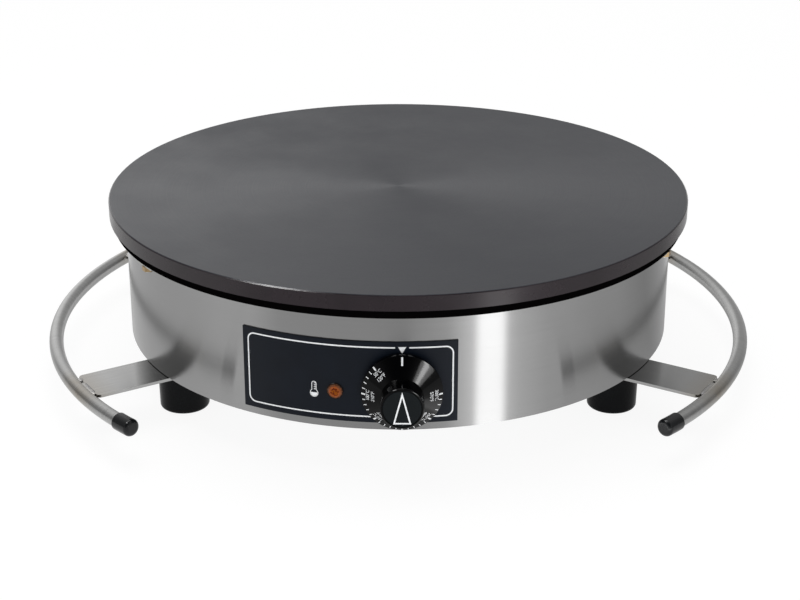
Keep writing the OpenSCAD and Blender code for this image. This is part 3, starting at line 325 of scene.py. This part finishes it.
def element_sheath():
    """Heat-tinted metal sheath."""
    f = Finish("sheath_tinted", Metallic=1.0)
    heat = f.noise(f.place(), 60, 3, 0.6)
    f.set("Base Color", f.mix(f.span(heat, 0.3, 0.7), (0.1, 0.085, 0.08), (0.2, 0.17, 0.14)))
    f.set("Roughness", f.span(heat, 0.3, 0.7, 0.4, 0.6))
    return f.material


def reflector_foil():
    """Bright foil with slight creases."""
    f = Finish("foil_creased", Metallic=1.0)
    creases = f.noise(f.place(), 70, 4, 0.6)
    f.set("Base Color", f.mix(f.span(creases, 0.3, 0.7), (0.5, 0.5, 0.51), (0.6, 0.6, 0.61)))
    f.set("Roughness", f.span(creases, 0.3, 0.7, 0.15, 0.3))
    f.bump(creases, 1 * MM)
    return f.material


def insulation_fibre():
    """Matted pale fibre."""
    f = Finish("fibre_matted", Roughness=0.95, Specular_IOR_Level=0.1)
    fibres = f.noise(f.vector("MULTIPLY", f.place(), (1, 1, 3)), 500, 5, 0.8)
    f.set("Base Color", f.mix(f.span(fibres, 0.3, 0.7), (0.55, 0.52, 0.45), (0.75, 0.73, 0.66)))
    f.bump(fibres, 1 * MM)
    return f.material


def wire_sleeve():
    """Woven glass sleeves: each separate lead has its own colour."""
    f = Finish("sleeve_woven", Specular_IOR_Level=0.3)
    lead = f.node("NewGeometry", {}).outputs["Random Per Island"]
    ramp = f.node("ValToRGB", {0: lead})
    colours = ((0.12, 0.05, 0.02), (0.03, 0.09, 0.35), (0.12, 0.3, 0.04), (0.5, 0.48, 0.44))
    ramp.color_ramp.interpolation = "CONSTANT"
    for i, colour in enumerate(colours):
        place = i / len(colours)
        stops = ramp.color_ramp.elements
        stop = stops[i] if i < 2 else stops.new(place)
        stop.position = place
        stop.color = (*colour, 1)
    weave = f.noise(f.place(), 1100, 2)
    dark = f.mix(0.35, ramp.outputs[0], (0.02, 0.02, 0.02))
    f.set("Base Color", f.mix(f.span(weave, 0.3, 0.7), dark, ramp.outputs[0]))
    f.set("Roughness", f.span(weave, 0.3, 0.7, 0.55, 0.75))
    f.bump(weave, 0.1 * MM)
    return f.material


def print_white():
    """Screen-printed white ink, slightly uneven."""
    f = Finish("ink_white", Specular_IOR_Level=0.3)
    ink = f.noise(f.place(), 700, 3, 0.6)
    f.set("Base Color", f.mix(f.span(ink, 0.3, 0.7), (0.78, 0.8, 0.82), (0.89, 0.9, 0.91)))
    f.set("Roughness", f.span(ink, 0.3, 0.7, 0.4, 0.55))
    return f.material


def weld_steel():
    """A weld bead: dull in its folds, with straw and blue heat colours."""
    f = Finish("weld_bead", Metallic=1.0)
    heat = f.noise(f.place(), 260, 3, 0.6)
    warm = f.mix(f.span(heat, 0.35, 0.6), (0.3, 0.295, 0.3), (0.38, 0.37, 0.35))
    f.set("Base Color", f.mix(f.span(heat, 0.6, 0.75), warm, (0.3, 0.31, 0.34)))
    f.set("Roughness", f.span(heat, 0.3, 0.7, 0.45, 0.6))
    f.bump(f.noise(f.place(), 1300), 0.03 * MM)
    return f.material


FINISHES = {
    "griddle_iron": griddle_iron(),
    "housing_steel": housing_steel(),
    "tube_steel": tube_steel(),
    "base_steel": rolled_steel(),
    "plated_steel": plated_steel(),
    "brass": brass(),
    "cap_black": moulded("vinyl_black", (0.0028, 0.0032, 0.004), 0.18, level=0.34),
    "foot_black": moulded("rubber_black", (0.003, 0.0033, 0.0038), 0.26, level=0.08),
    "fascia_black": moulded("film_black", (0.0028, 0.0046, 0.0086), 0.42, grain=2200, depth=0.01, level=0.16),
    "knob_black": moulded("thermoset_black", (0.0005, 0.0005, 0.0007), 0.09, depth=0.001, level=0.12),
    "thermostat_case": moulded("case_pale", (0.5, 0.47, 0.4), 0.5, wear=0.92),
    "copper": copper(),
    "amber_lens": amber_lens(),
    "element_sheath": element_sheath(),
    "reflector_foil": reflector_foil(),
    "insulation_fibre": insulation_fibre(),
    "gland_black": moulded("nylon_black", (0.008, 0.008, 0.009), 0.4),
    "wire_sleeve": wire_sleeve(),
}
STRIP_FINISHES = {side: strip_steel(side) for side in SIDES}
WHITE = print_white()


def dress_nodes():
    """Gives every CAD node the finish of its slot; a strip's follows its direction."""
    for name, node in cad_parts.items():
        for slot in node.material_slots:
            kind = slot.material.name
            if kind == "strip_steel":
                slot.material = STRIP_FINISHES[1 if name.endswith(("rear_right", "front_left")) else -1]
            else:
                slot.material = FINISHES[kind]


# ---------------------------------------------------------------- new pieces

def add_piece(name, points, faces, finish, body, smooth=False):
    """A new mesh piece that rides on a body."""
    mesh = bpy.data.meshes.new(name)
    mesh.from_pydata(points, [], faces)
    mesh.validate()
    mesh.materials.append(finish)
    mesh.polygons.foreach_set("use_smooth", [smooth] * len(mesh.polygons))
    piece = bpy.data.objects.new(name, mesh)
    bpy.context.scene.collection.objects.link(piece)
    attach(piece, body)
    return piece


def lathe(profile, steps, place):
    """Points and faces of a closed turned shape; profile runs from axis to axis."""
    rings = profile[1:-1]
    points = [place(0, 0, profile[0][1])]
    for radius, height in rings:
        points += [place(radius * math.cos(a), radius * math.sin(a), height)
                   for a in (math.tau * k / steps for k in range(steps))]
    points.append(place(0, 0, profile[-1][1]))
    faces = []
    for k in range(steps):
        after = (k + 1) % steps
        faces.append((0, 1 + after, 1 + k))
        for ring in range(len(rings) - 1):
            low, high = 1 + ring * steps, 1 + (ring + 1) * steps
            faces.append((low + k, low + after, high + after, high + k))
        last = 1 + (len(rings) - 1) * steps
        faces.append((last + k, last + after, len(points) - 1))
    return points, faces


class Print:
    """Flat ink marks, laid on a panel as thin closed plates; lay maps (u, v, rise) to a point."""

    RISE = 0.05 * MM
    SINK = 0.02 * MM

    def __init__(self, lay):
        self.lay = lay
        self.points = []
        self.faces = []

    def add(self, flat, faces):
        """Adds one mark: flat points, with faces that run anticlockwise."""
        start = len(self.points)
        count = len(flat)
        self.points += [self.lay(*p, self.RISE) for p in flat]
        self.points += [self.lay(*p, -self.SINK) for p in flat]
        edges = {(face[i - 1], face[i]) for face in faces for i in range(len(face))}
        for face in faces:
            self.faces.append([start + i for i in face])
            self.faces.append([start + count + i for i in reversed(face)])
        for a, b in edges:
            if (b, a) not in edges:
                self.faces.append([start + b, start + a, start + count + a, start + count + b])

    def polygon(self, flat):
        """A filled convex mark whose points run anticlockwise."""
        self.add(flat, [list(range(len(flat)))])

    def line(self, path, width, closed=False):
        """A line of even width along a path, with mitred corners."""
        path = [Vector(p) for p in path]
        count = len(path)
        flat = []
        for i, here in enumerate(path):
            before = path[i - 1] if closed or i else None
            after = path[(i + 1) % count] if closed or i < count - 1 else None
            first = (here - before).normalized() if before else (after - here).normalized()
            second = (after - here).normalized() if after else first
            along = (first + second).normalized()
            side = Vector((-along.y, along.x)) * width / 2 / along.dot(first)
            flat += [here + side, here - side]
        quads = count if closed else count - 1
        ends = 2 * count
        self.add(flat, [(2 * i, 2 * i + 1, (2 * i + 3) % ends, (2 * i + 2) % ends) for i in range(quads)])

    def text(self, words, height, centre, turn):
        """Plain lettering about a centre, turned anticlockwise."""
        curve = bpy.data.curves.new("lettering", "FONT")
        curve.body = words
        curve.size = height / 0.7
        curve.align_x = "CENTER"
        curve.align_y = "CENTER"
        curve.resolution_u = 3
        curve.space_character = 0.94
        carrier = bpy.data.objects.new("lettering", curve)
        bpy.context.scene.collection.objects.link(carrier)
        graph = bpy.context.evaluated_depsgraph_get()
        mesh = bpy.data.meshes.new_from_object(carrier.evaluated_get(graph))
        cos, sin = math.cos(turn), math.sin(turn)
        flat = [(centre[0] + cos * v.co.x - sin * v.co.y, centre[1] + sin * v.co.x + cos * v.co.y)
                for v in mesh.vertices]
        faces = [tuple(p.vertices) if p.normal.z > 0 else tuple(reversed(p.vertices)) for p in mesh.polygons]
        self.add(flat, faces)
        bpy.data.objects.remove(carrier)
        bpy.data.curves.remove(curve)
        bpy.data.meshes.remove(mesh)

    def build(self, name, body):
        return add_piece(name, self.points, self.faces, WHITE, body)


def arc(centre, radius, start, end, steps=8):
    """Points on an arc; angles in degrees, anticlockwise from +u."""
    angles = [math.radians(start + (end - start) * k / steps) for k in range(steps + 1)]
    return [(centre[0] + radius * math.cos(a), centre[1] + radius * math.sin(a)) for a in angles]


def subdivide(path, step):
    """The path with extra points, no further apart than the step."""
    fine = [path[0]]
    for a, b in zip(path, path[1:]):
        pieces = max(1, math.ceil(math.dist(a, b) / step))
        fine += [(a[0] + (b[0] - a[0]) * k / pieces, a[1] + (b[1] - a[1]) * k / pieces)
                 for k in range(1, pieces + 1)]
    return fine


# The fascia: u is the arc length from azimuth 0 and v is the height above the floor
FASCIA_R = -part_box("fascia_panel")[0].y
PANEL_LEFT = FASCIA_R * math.asin(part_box("fascia_panel")[0].x / FASCIA_R)
PANEL_RIGHT = FASCIA_R * math.asin(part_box("fascia_panel")[1].x / FASCIA_R)
PANEL_LOW, PANEL_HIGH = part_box("fascia_panel")[0].z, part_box("fascia_panel")[1].z
KNOB_LOW, KNOB_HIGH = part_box("knob")
KNOB_X = (KNOB_LOW.x + KNOB_HIGH.x) / 2
KNOB_Z = (KNOB_LOW.z + KNOB_HIGH.z) / 2
SKIRT_R = (KNOB_HIGH.x - KNOB_LOW.x) / 2


def on_fascia(u, v, rise):
    turn = u / FASCIA_R
    return ((FASCIA_R + rise) * math.sin(turn), -(FASCIA_R + rise) * math.cos(turn), v)


def print_fascia():
    """The border line, the mark above the knob and the thermometer."""
    marks = Print(on_fascia)
    width = 0.9 * MM
    corner = 4.5 * MM
    left, right = PANEL_LEFT + 3.9 * MM, PANEL_RIGHT - 3.1 * MM
    low, high = PANEL_LOW + 4 * MM, PANEL_HIGH - 3.7 * MM
    mark_gap = 4.35 * MM
    knob_gap = 18.6 * MM
    step = 4 * MM
    left_part = [(KNOB_X - mark_gap, high)]
    left_part += arc((left + corner, high - corner), corner, 90, 180)
    left_part += arc((left + corner, low + corner), corner, 180, 270)
    left_part.append((KNOB_X - knob_gap, low))
    right_part = [(KNOB_X + knob_gap, low)]
    right_part += arc((right - corner, low + corner), corner, -90, 0)
    right_part += arc((right - corner, high - corner), corner, 0, 90)
    right_part.append((KNOB_X + mark_gap, high))
    for part in (left_part, right_part):
        marks.line(subdivide(part, step), width)

    mark_half, mark_top, mark_tip = 2.5 * MM, high + 0.5 * MM, high - 3.9 * MM
    marks.polygon([(KNOB_X - mark_half, mark_top), (KNOB_X, mark_tip), (KNOB_X + mark_half, mark_top)])

    print_thermometer(marks)
    marks.build("fascia_print", HOUSING)


def print_thermometer(marks):
    """A plain thermometer: an outlined stem with divisions, and a bulb that is half full."""
    azimuth = math.radians(-15.9)
    u = FASCIA_R * azimuth
    bulb = (u, 53.7 * MM)
    bulb_r, stem_half, stem_top = 2.5 * MM, 1.4 * MM, 60.1 * MM
    neck = 90 - math.degrees(math.asin(stem_half / bulb_r))
    outline = arc((u, stem_top), stem_half, 0, 180)
    outline += arc(bulb, bulb_r, 180 - neck, 360 + neck, 20)
    marks.line(outline, 0.4 * MM, closed=True)
    marks.polygon(arc(bulb, bulb_r - 0.35 * MM, 172, 368, 14))
    division, start = 1.35 * MM, 56.4 * MM
    for k in range(4):
        z = start + k * division
        marks.line([(u - 0.1 * MM, z), (u + stem_half, z)], 0.4 * MM)


def knob_surface():
    """Finds the knob's front surface: lay(u, v, rise), with u and v from the knob's axis."""
    trees = []
    for name in ("knob", "knob_face_disc"):
        mesh = bpy.data.objects[name].data
        trees.append(BVHTree.FromPolygons([v.co for v in mesh.vertices], [p.vertices for p in mesh.polygons]))

    def lay(u, v, rise):
        start = Vector((KNOB_X + u, KNOB_LOW.y - 0.05, KNOB_Z + v))
        hits = [tree.ray_cast(start, Vector((0, 1, 0)))[0] for tree in trees]
        front = min(hit.y for hit in hits if hit)
        return (start.x, front - rise, start.z)

    return lay


def knob_face_disc():
    """The disc let into the knob's face, with a bevelled edge, just below flush for its print."""
    low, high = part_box("knob_disc")
    radius = (high.x - low.x) / 2
    front = high.y - low.y - 0.06 * MM
    bevel = 0.25 * MM
    profile = [(0, 0), (radius, 0), (radius, front - bevel), (radius - bevel, front), (0, front)]
    f = Finish("disc_satin", Specular_IOR_Level=0.18)
    rings = f.noise(f.join(f.vector("DISTANCE", f.place(), (KNOB_X, low.y, KNOB_Z))), 900)
    f.set("Base Color", f.mix(f.span(rings, 0.3, 0.7), (0.0014, 0.0032, 0.0042), (0.0022, 0.0044, 0.0056)))
    f.set("Roughness", f.span(rings, 0.3, 0.7, 0.28, 0.38))
    points, faces = lathe(profile, 96, lambda x, y, h: (KNOB_X + x, high.y - h, KNOB_Z + y))
    disc = add_piece("knob_face_disc", points, faces, f.material, KNOB_BODY)
    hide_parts("knob_disc")


def print_knob():
    """The pointer on the knob's face, the line on its skirt and the scale."""
    marks = Print(knob_surface())
    tip, foot, half = 9.4 * MM, -9.6 * MM, 4.9 * MM
    marks.line([(0, tip), (-half, foot), (half, foot)], 0.95 * MM, closed=True)
    skirt_line = [(0, 20 * MM), (0, 24.3 * MM)]
    marks.line(subdivide(skirt_line, 1.5 * MM), 1.15 * MM)

    # The scale: divisions every 9 degrees of turn, and numbers in Celsius and Fahrenheit every 45
    first, last, minor, major = 45, 270, 9, 45
    major_ends, minor_ends = (22.6 * MM, 24.9 * MM), (22.9 * MM, 24.7 * MM)
    major_width, minor_width = 1.0 * MM, 0.55 * MM
    for angle in range(first, last + 1, minor):
        is_major = angle % major == 0
        turn = math.radians(angle)
        ends = [(-r * math.sin(turn), r * math.cos(turn)) for r in (major_ends if is_major else minor_ends)]
        marks.line(subdivide(ends, 0.8 * MM), major_width if is_major else minor_width)
    scale = {45: (50, 120), 90: (100, 210), 135: (150, 300),
             180: (200, 390), 225: (250, 480), 270: (300, 570)}
    letter_h = 2.05 * MM
    number_radii = (21 * MM, 17.9 * MM)
    for angle, values in scale.items():
        turn = math.radians(angle)
        for value, unit, r in zip(values, "CF", number_radii):
            centre = (-r * math.sin(turn), r * math.cos(turn))
            marks.text(f"{value}°{unit}", letter_h, centre, turn)
    marks.build("knob_print", KNOB_BODY)


def faceted_lens():
    """The pilot lens: a flange and a dome cut into flat facets."""
    azimuth = math.radians(-11.8)
    low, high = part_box("pilot_lens")
    height, radius = 2.4 * MM, (high.z - low.z) / 2
    seat, flange, table = FASCIA_R, 0.8 * MM, radius - 0.65 * MM
    out = Vector((math.sin(azimuth), -math.cos(azimuth), 0))
    side = Vector((math.cos(azimuth), math.sin(azimuth), 0))
    z = (low.z + high.z) / 2
    steps = 16

    def place(x, y, h):
        return out * (seat + h) + side * x + Vector((0, 0, z + y))

    rings = [(radius, 0, 0), (radius, flange * 0.75, 0), (radius - 0.2 * MM, flange, 0), (table, flange, 0),
             (table * 0.72, height * 0.8, 0.5), (table * 0.36, height * 0.97, 0)]
    points = [place(0, 0, 0)]
    for r, h, shift in rings:
        points += [place(r * math.cos(a), r * math.sin(a), h)
                   for a in (math.tau * (k + shift) / steps for k in range(steps))]
    points.append(place(0, 0, height))
    faces = []
    for k in range(steps):
        after = (k + 1) % steps
        faces.append((0, 1 + after, 1 + k))
        for ring in range(len(rings) - 1):
            a, b = 1 + ring * steps, 1 + (ring + 1) * steps
            shift = rings[ring][2], rings[ring + 1][2]
            if shift == (0, 0.5):
                faces += [(a + k, a + after, b + k), (a + after, b + after, b + k)]
            elif shift == (0.5, 0):
                faces += [(a + k, b + after, b + k), (a + k, a + after, b + after)]
            else:
                faces.append((a + k, a + after, b + after, b + k))
        last = 1 + (len(rings) - 1) * steps
        faces.append((last + k, last + after, len(points) - 1))
    lens = add_piece("faceted_lens", points, faces, FINISHES["amber_lens"], HOUSING)
    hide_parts("pilot_lens")


def cast_skirt():
    """The rough cast edge below the machined band, as a thin uneven skin round the plate, in a near-black
    finish that is partly painted shade under the rim.
    """
    low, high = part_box("griddle_plate")
    rim_r, foot_r = high.x, high.x - 3 * MM
    top = high.z - 10.4 * MM
    middle_r, middle_z = (rim_r + foot_r) / 2, top - 1.5 * MM
    thick, rough, steps = 0.12 * MM, 0.05 * MM, 540
    profile = [(rim_r - 0.5 * MM, top), (rim_r - 0.05 * MM, top - 0.05 * MM)]
    for r, z in ((middle_r, middle_z), ((middle_r + foot_r) / 2, (middle_z + low.z) / 2), (foot_r, low.z)):
        profile.append((r + thick, z))
    profile += [(foot_r - 1 * MM, low.z - 0.04 * MM), (foot_r - 1 * MM, low.z + 0.5 * MM)]
    uneven = range(2, 5)
    points, faces = [], []
    for k in range(steps):
        turn = math.tau * k / steps
        cos, sin = math.cos(turn), math.sin(turn)
        for i, (r, z) in enumerate(profile):
            lump = rough * noise.noise(Vector((cos, sin, z / rim_r)) * 130) if i in uneven else 0
            points.append(((r + lump) * cos, (r + lump) * sin, z))
    count = len(profile)
    for k in range(steps):
        here, after = k * count, (k + 1) % steps * count
        for i in range(count):
            j = (i + 1) % count
            faces.append((here + i, here + j, after + j, after + i))
    add_piece("cast_skirt", points, faces, cast_skin_and_shade(), HOUSING, smooth=True)


def weld_beads():
    """Rippled weld runs along the top of each joint between a strip and its tube."""
    finish = weld_steel()
    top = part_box("handle_strip_front_left")[1].z - 0.6 * MM
    radius = BEND_R - 3.9 * MM
    runs = ((-13.8, -9.0), (-7.0, 13.6))
    bead, width, ripple, pitch, sides = 1 * MM, 2.3, 0.1, 1.25 * MM, 14
    joint_turn = math.atan2(JUNCTION[1], JUNCTION[0] - BEND_X)
    for side in SIDES:
        for end in SIDES:
            points, faces = [], []
            for start, stop in runs:
                start, stop = start * MM, stop * MM
                steps = round((stop - start) / (pitch / 5))
                base = len(points)
                for i in range(steps + 1):
                    along = start + (stop - start) * i / steps
                    taper = math.sqrt(max(0.02, 1 - abs(2 * i / steps - 1) ** 6))
                    r = bead * taper * (1 - ripple * ((along / pitch) % 1))
                    turn = joint_turn + along / radius
                    for k in range(sides):
                        a = math.tau * k / sides
                        reach = radius + width * r * math.cos(a)
                        points.append((side * (BEND_X + reach * math.cos(turn)), end * reach * math.sin(turn),
                                       top + r * math.sin(a)))
                for i in range(steps):
                    low, high = base + i * sides, base + (i + 1) * sides
                    for k in range(sides):
                        after = (k + 1) % sides
                        faces.append((low + k, low + after, high + after, high + k))
                faces.append(tuple(base + k for k in reversed(range(sides))))
                faces.append(tuple(base + steps * sides + k for k in range(sides)))
            if side * end > 0:
                faces = [tuple(reversed(face)) for face in faces]
            name = f"weld_{'front' if end < 0 else 'rear'}_{'left' if side < 0 else 'right'}"
            add_piece(name, points, faces, finish, HOUSING, smooth=True)


# ---------------------------------------------------------------- studio

def make_floor():
    """A plain pale floor, paler to the camera; shiny pieces see light that fans out over it."""
    half = 5.0
    pale = 0.86
    fan_origin = (0.0025, -0.1114)
    # The azimuth in degrees about the fan's origin, and the light there
    fan = ((-180, 1.1), (-150, 0.95), (-130, 0.62), (-76, 1.0), (-62, 0.98), (-50, 0.72), (2, 0.65),
           (20, 0.95), (31, 1.7), (34, 3.5), (43, 3.5), (46, 1.5), (51, 1.2), (62, 0.93), (97, 0.67),
           (113, 0.42), (130, 0.48), (150, 0.95), (180, 1.1))
    corners = [(-half, -half, 0), (half, -half, 0), (half, half, 0), (-half, half, 0)]
    mesh = bpy.data.meshes.new("floor")
    mesh.from_pydata(corners, [], [(0, 1, 2, 3)])
    f = Finish("floor_pale", Roughness=0.9, Specular_IOR_Level=0.0)
    ray = f.node("LightPath", {}).outputs
    turn = f.polar(centre=fan_origin)[0]
    light = fan[0][1]
    for (start, before), (end, after) in zip(fan, fan[1:]):
        light = f.add(light, f.span(turn, math.radians(start), math.radians(end), 0.0, after - before))
    seen = f.add(f.times(ray["Is Camera Ray"], pale), f.times(ray["Is Glossy Ray"], 0.9))
    f.set("Base Color", f.mix(seen, (0.93, 0.93, 0.93), (0.0, 0.0, 0.0)))
    f.set("Emission Color", (1, 1, 1))
    f.set("Emission Strength", f.add(f.times(ray["Is Camera Ray"], pale + 0.04),
                                     f.times(ray["Is Glossy Ray"], light)))
    f.material.cycles.emission_sampling = "NONE"
    mesh.materials.append(f.material)
    floor = bpy.data.objects.new("floor", mesh)
    bpy.context.scene.collection.objects.link(floor)


def lobe(tree, direction, toward, start):
    """A soft patch of the sky: 0 at the cosine start and 1 straight toward a direction."""
    dot = tree.nodes.new("ShaderNodeVectorMath")
    dot.operation = "DOT_PRODUCT"
    tree.links.new(direction, dot.inputs[0])
    dot.inputs[1].default_value = Vector(toward).normalized()
    soft = tree.nodes.new("ShaderNodeMapRange")
    soft.interpolation_type = "SMOOTHSTEP"
    soft.inputs[1].default_value = start
    tree.links.new(dot.outputs["Value"], soft.inputs[0])
    return soft.outputs[0]


def make_sky():
    """A soft studio: brighter at the rear left, darker over the camera, at the sides and the rear right."""
    world = bpy.data.worlds.new("studio")
    bpy.context.scene.world = world
    world.use_nodes = True
    tree = world.node_tree
    direction = tree.nodes.new("ShaderNodeTexCoord").outputs["Generated"]
    # Each patch: its direction, the cosine where it starts, and its light
    patches = (
        ((-0.4, 0.89, 0.2), 0.85, 0.6),
        ((-0.1, -0.68, 0.73), 0.58, -0.68),
        ((0.3, 0.86, 0.4), 0.85, -0.2),
        ((-0.95, 0.25, 0.05), 0.6, -0.45),
        ((0.95, 0.2, 0.05), 0.6, -0.45),
    )
    level = 0.75
    for toward, start, strength in patches:
        add = tree.nodes.new("ShaderNodeMath")
        add.operation = "MULTIPLY_ADD"
        tree.links.new(lobe(tree, direction, toward, start), add.inputs[0])
        add.inputs[1].default_value = strength
        if isinstance(level, float):
            add.inputs[2].default_value = level
        else:
            tree.links.new(level, add.inputs[2])
        level = add.outputs[0]
    seen = tree.nodes.new("ShaderNodeLightPath").outputs["Is Camera Ray"]
    pick = tree.nodes.new("ShaderNodeMix")
    tree.links.new(seen, pick.inputs[0])
    tree.links.new(level, pick.inputs[2])
    pick.inputs[3].default_value = 1.0
    background = tree.nodes["Background"]
    background.inputs["Color"].default_value = (1, 1, 1, 1)
    tree.links.new(pick.outputs[0], background.inputs["Strength"])


def add_lamp(name, place, aim, size, radiance, diffuse=True, glossy=True, only=()):
    """A rectangular lamp that faces a point; it lights pieces, shows in them, or both, in all or in some."""
    power = 4        # of an area lamp in Cycles, for one unit of radiance and one square metre
    light = bpy.data.lights.new(name, "AREA")
    light.shape = "RECTANGLE"
    light.size, light.size_y = size
    light.energy = radiance * power * size[0] * size[1]
    lamp = bpy.data.objects.new(name, light)
    lamp.location = place
    lamp.rotation_euler = (Vector(aim) - Vector(place)).to_track_quat("-Z", "Y").to_euler()
    lamp.visible_camera = False
    lamp.visible_diffuse = diffuse
    lamp.visible_glossy = glossy
    bpy.context.scene.collection.objects.link(lamp)
    if only:
        lit = bpy.data.collections.new(name + "_lit")
        for piece in only:
            lit.objects.link(bpy.data.objects[piece])
        lamp.light_linking.receiver_collection = lit


def make_studio():
    """The floor, the sky, a lamp overhead, a fill in front, and soft boxes that only show in reflections.

    The boxes on the right show in the knob alone: at a low angle the plate would mirror them.
    """
    knob_front = (0.0025, -0.21, 0.06)
    knob_glint = {"diffuse": False, "only": ["knob"]}
    make_floor()
    make_sky()
    add_lamp("overhead", (-0.3, 0.1, 2.2), (0, 0, 0), (1.6, 1.6), 1.6)
    add_lamp("front_fill", (0.1, -1.4, 0.35), (0, -0.19, 0.06), (0.8, 0.4), 5.5, glossy=False)
    add_lamp("box_right", (0.855, -0.9, 0.548), knob_front, (0.36, 0.5), 7, **knob_glint)
    add_lamp("box_right_core", (0.84, -0.885, 0.54), knob_front, (0.12, 0.5), 22, **knob_glint)
    add_lamp("box_left", (-0.75, -0.31, 1.35), (-0.08, -0.18, 0.12), (0.45, 0.35), 24, diffuse=False)


def make_camera():
    """The photograph's viewpoint."""
    camera = bpy.data.objects.new("camera", bpy.data.cameras.new("camera"))
    camera.data.lens = CAMERA_LENS
    camera.data.sensor_width = 36
    camera.location = CAMERA_PLACE
    camera.rotation_euler = (math.radians(CAMERA_TILT), 0, 0)
    bpy.context.scene.collection.objects.link(camera)
    bpy.context.scene.camera = camera


make_camera()
dress_nodes()
print_fascia()
knob_face_disc()
print_knob()
faceted_lens()
cast_skirt()
weld_beads()
make_studio()
bpy.context.scene.view_settings.view_transform = "Standard"
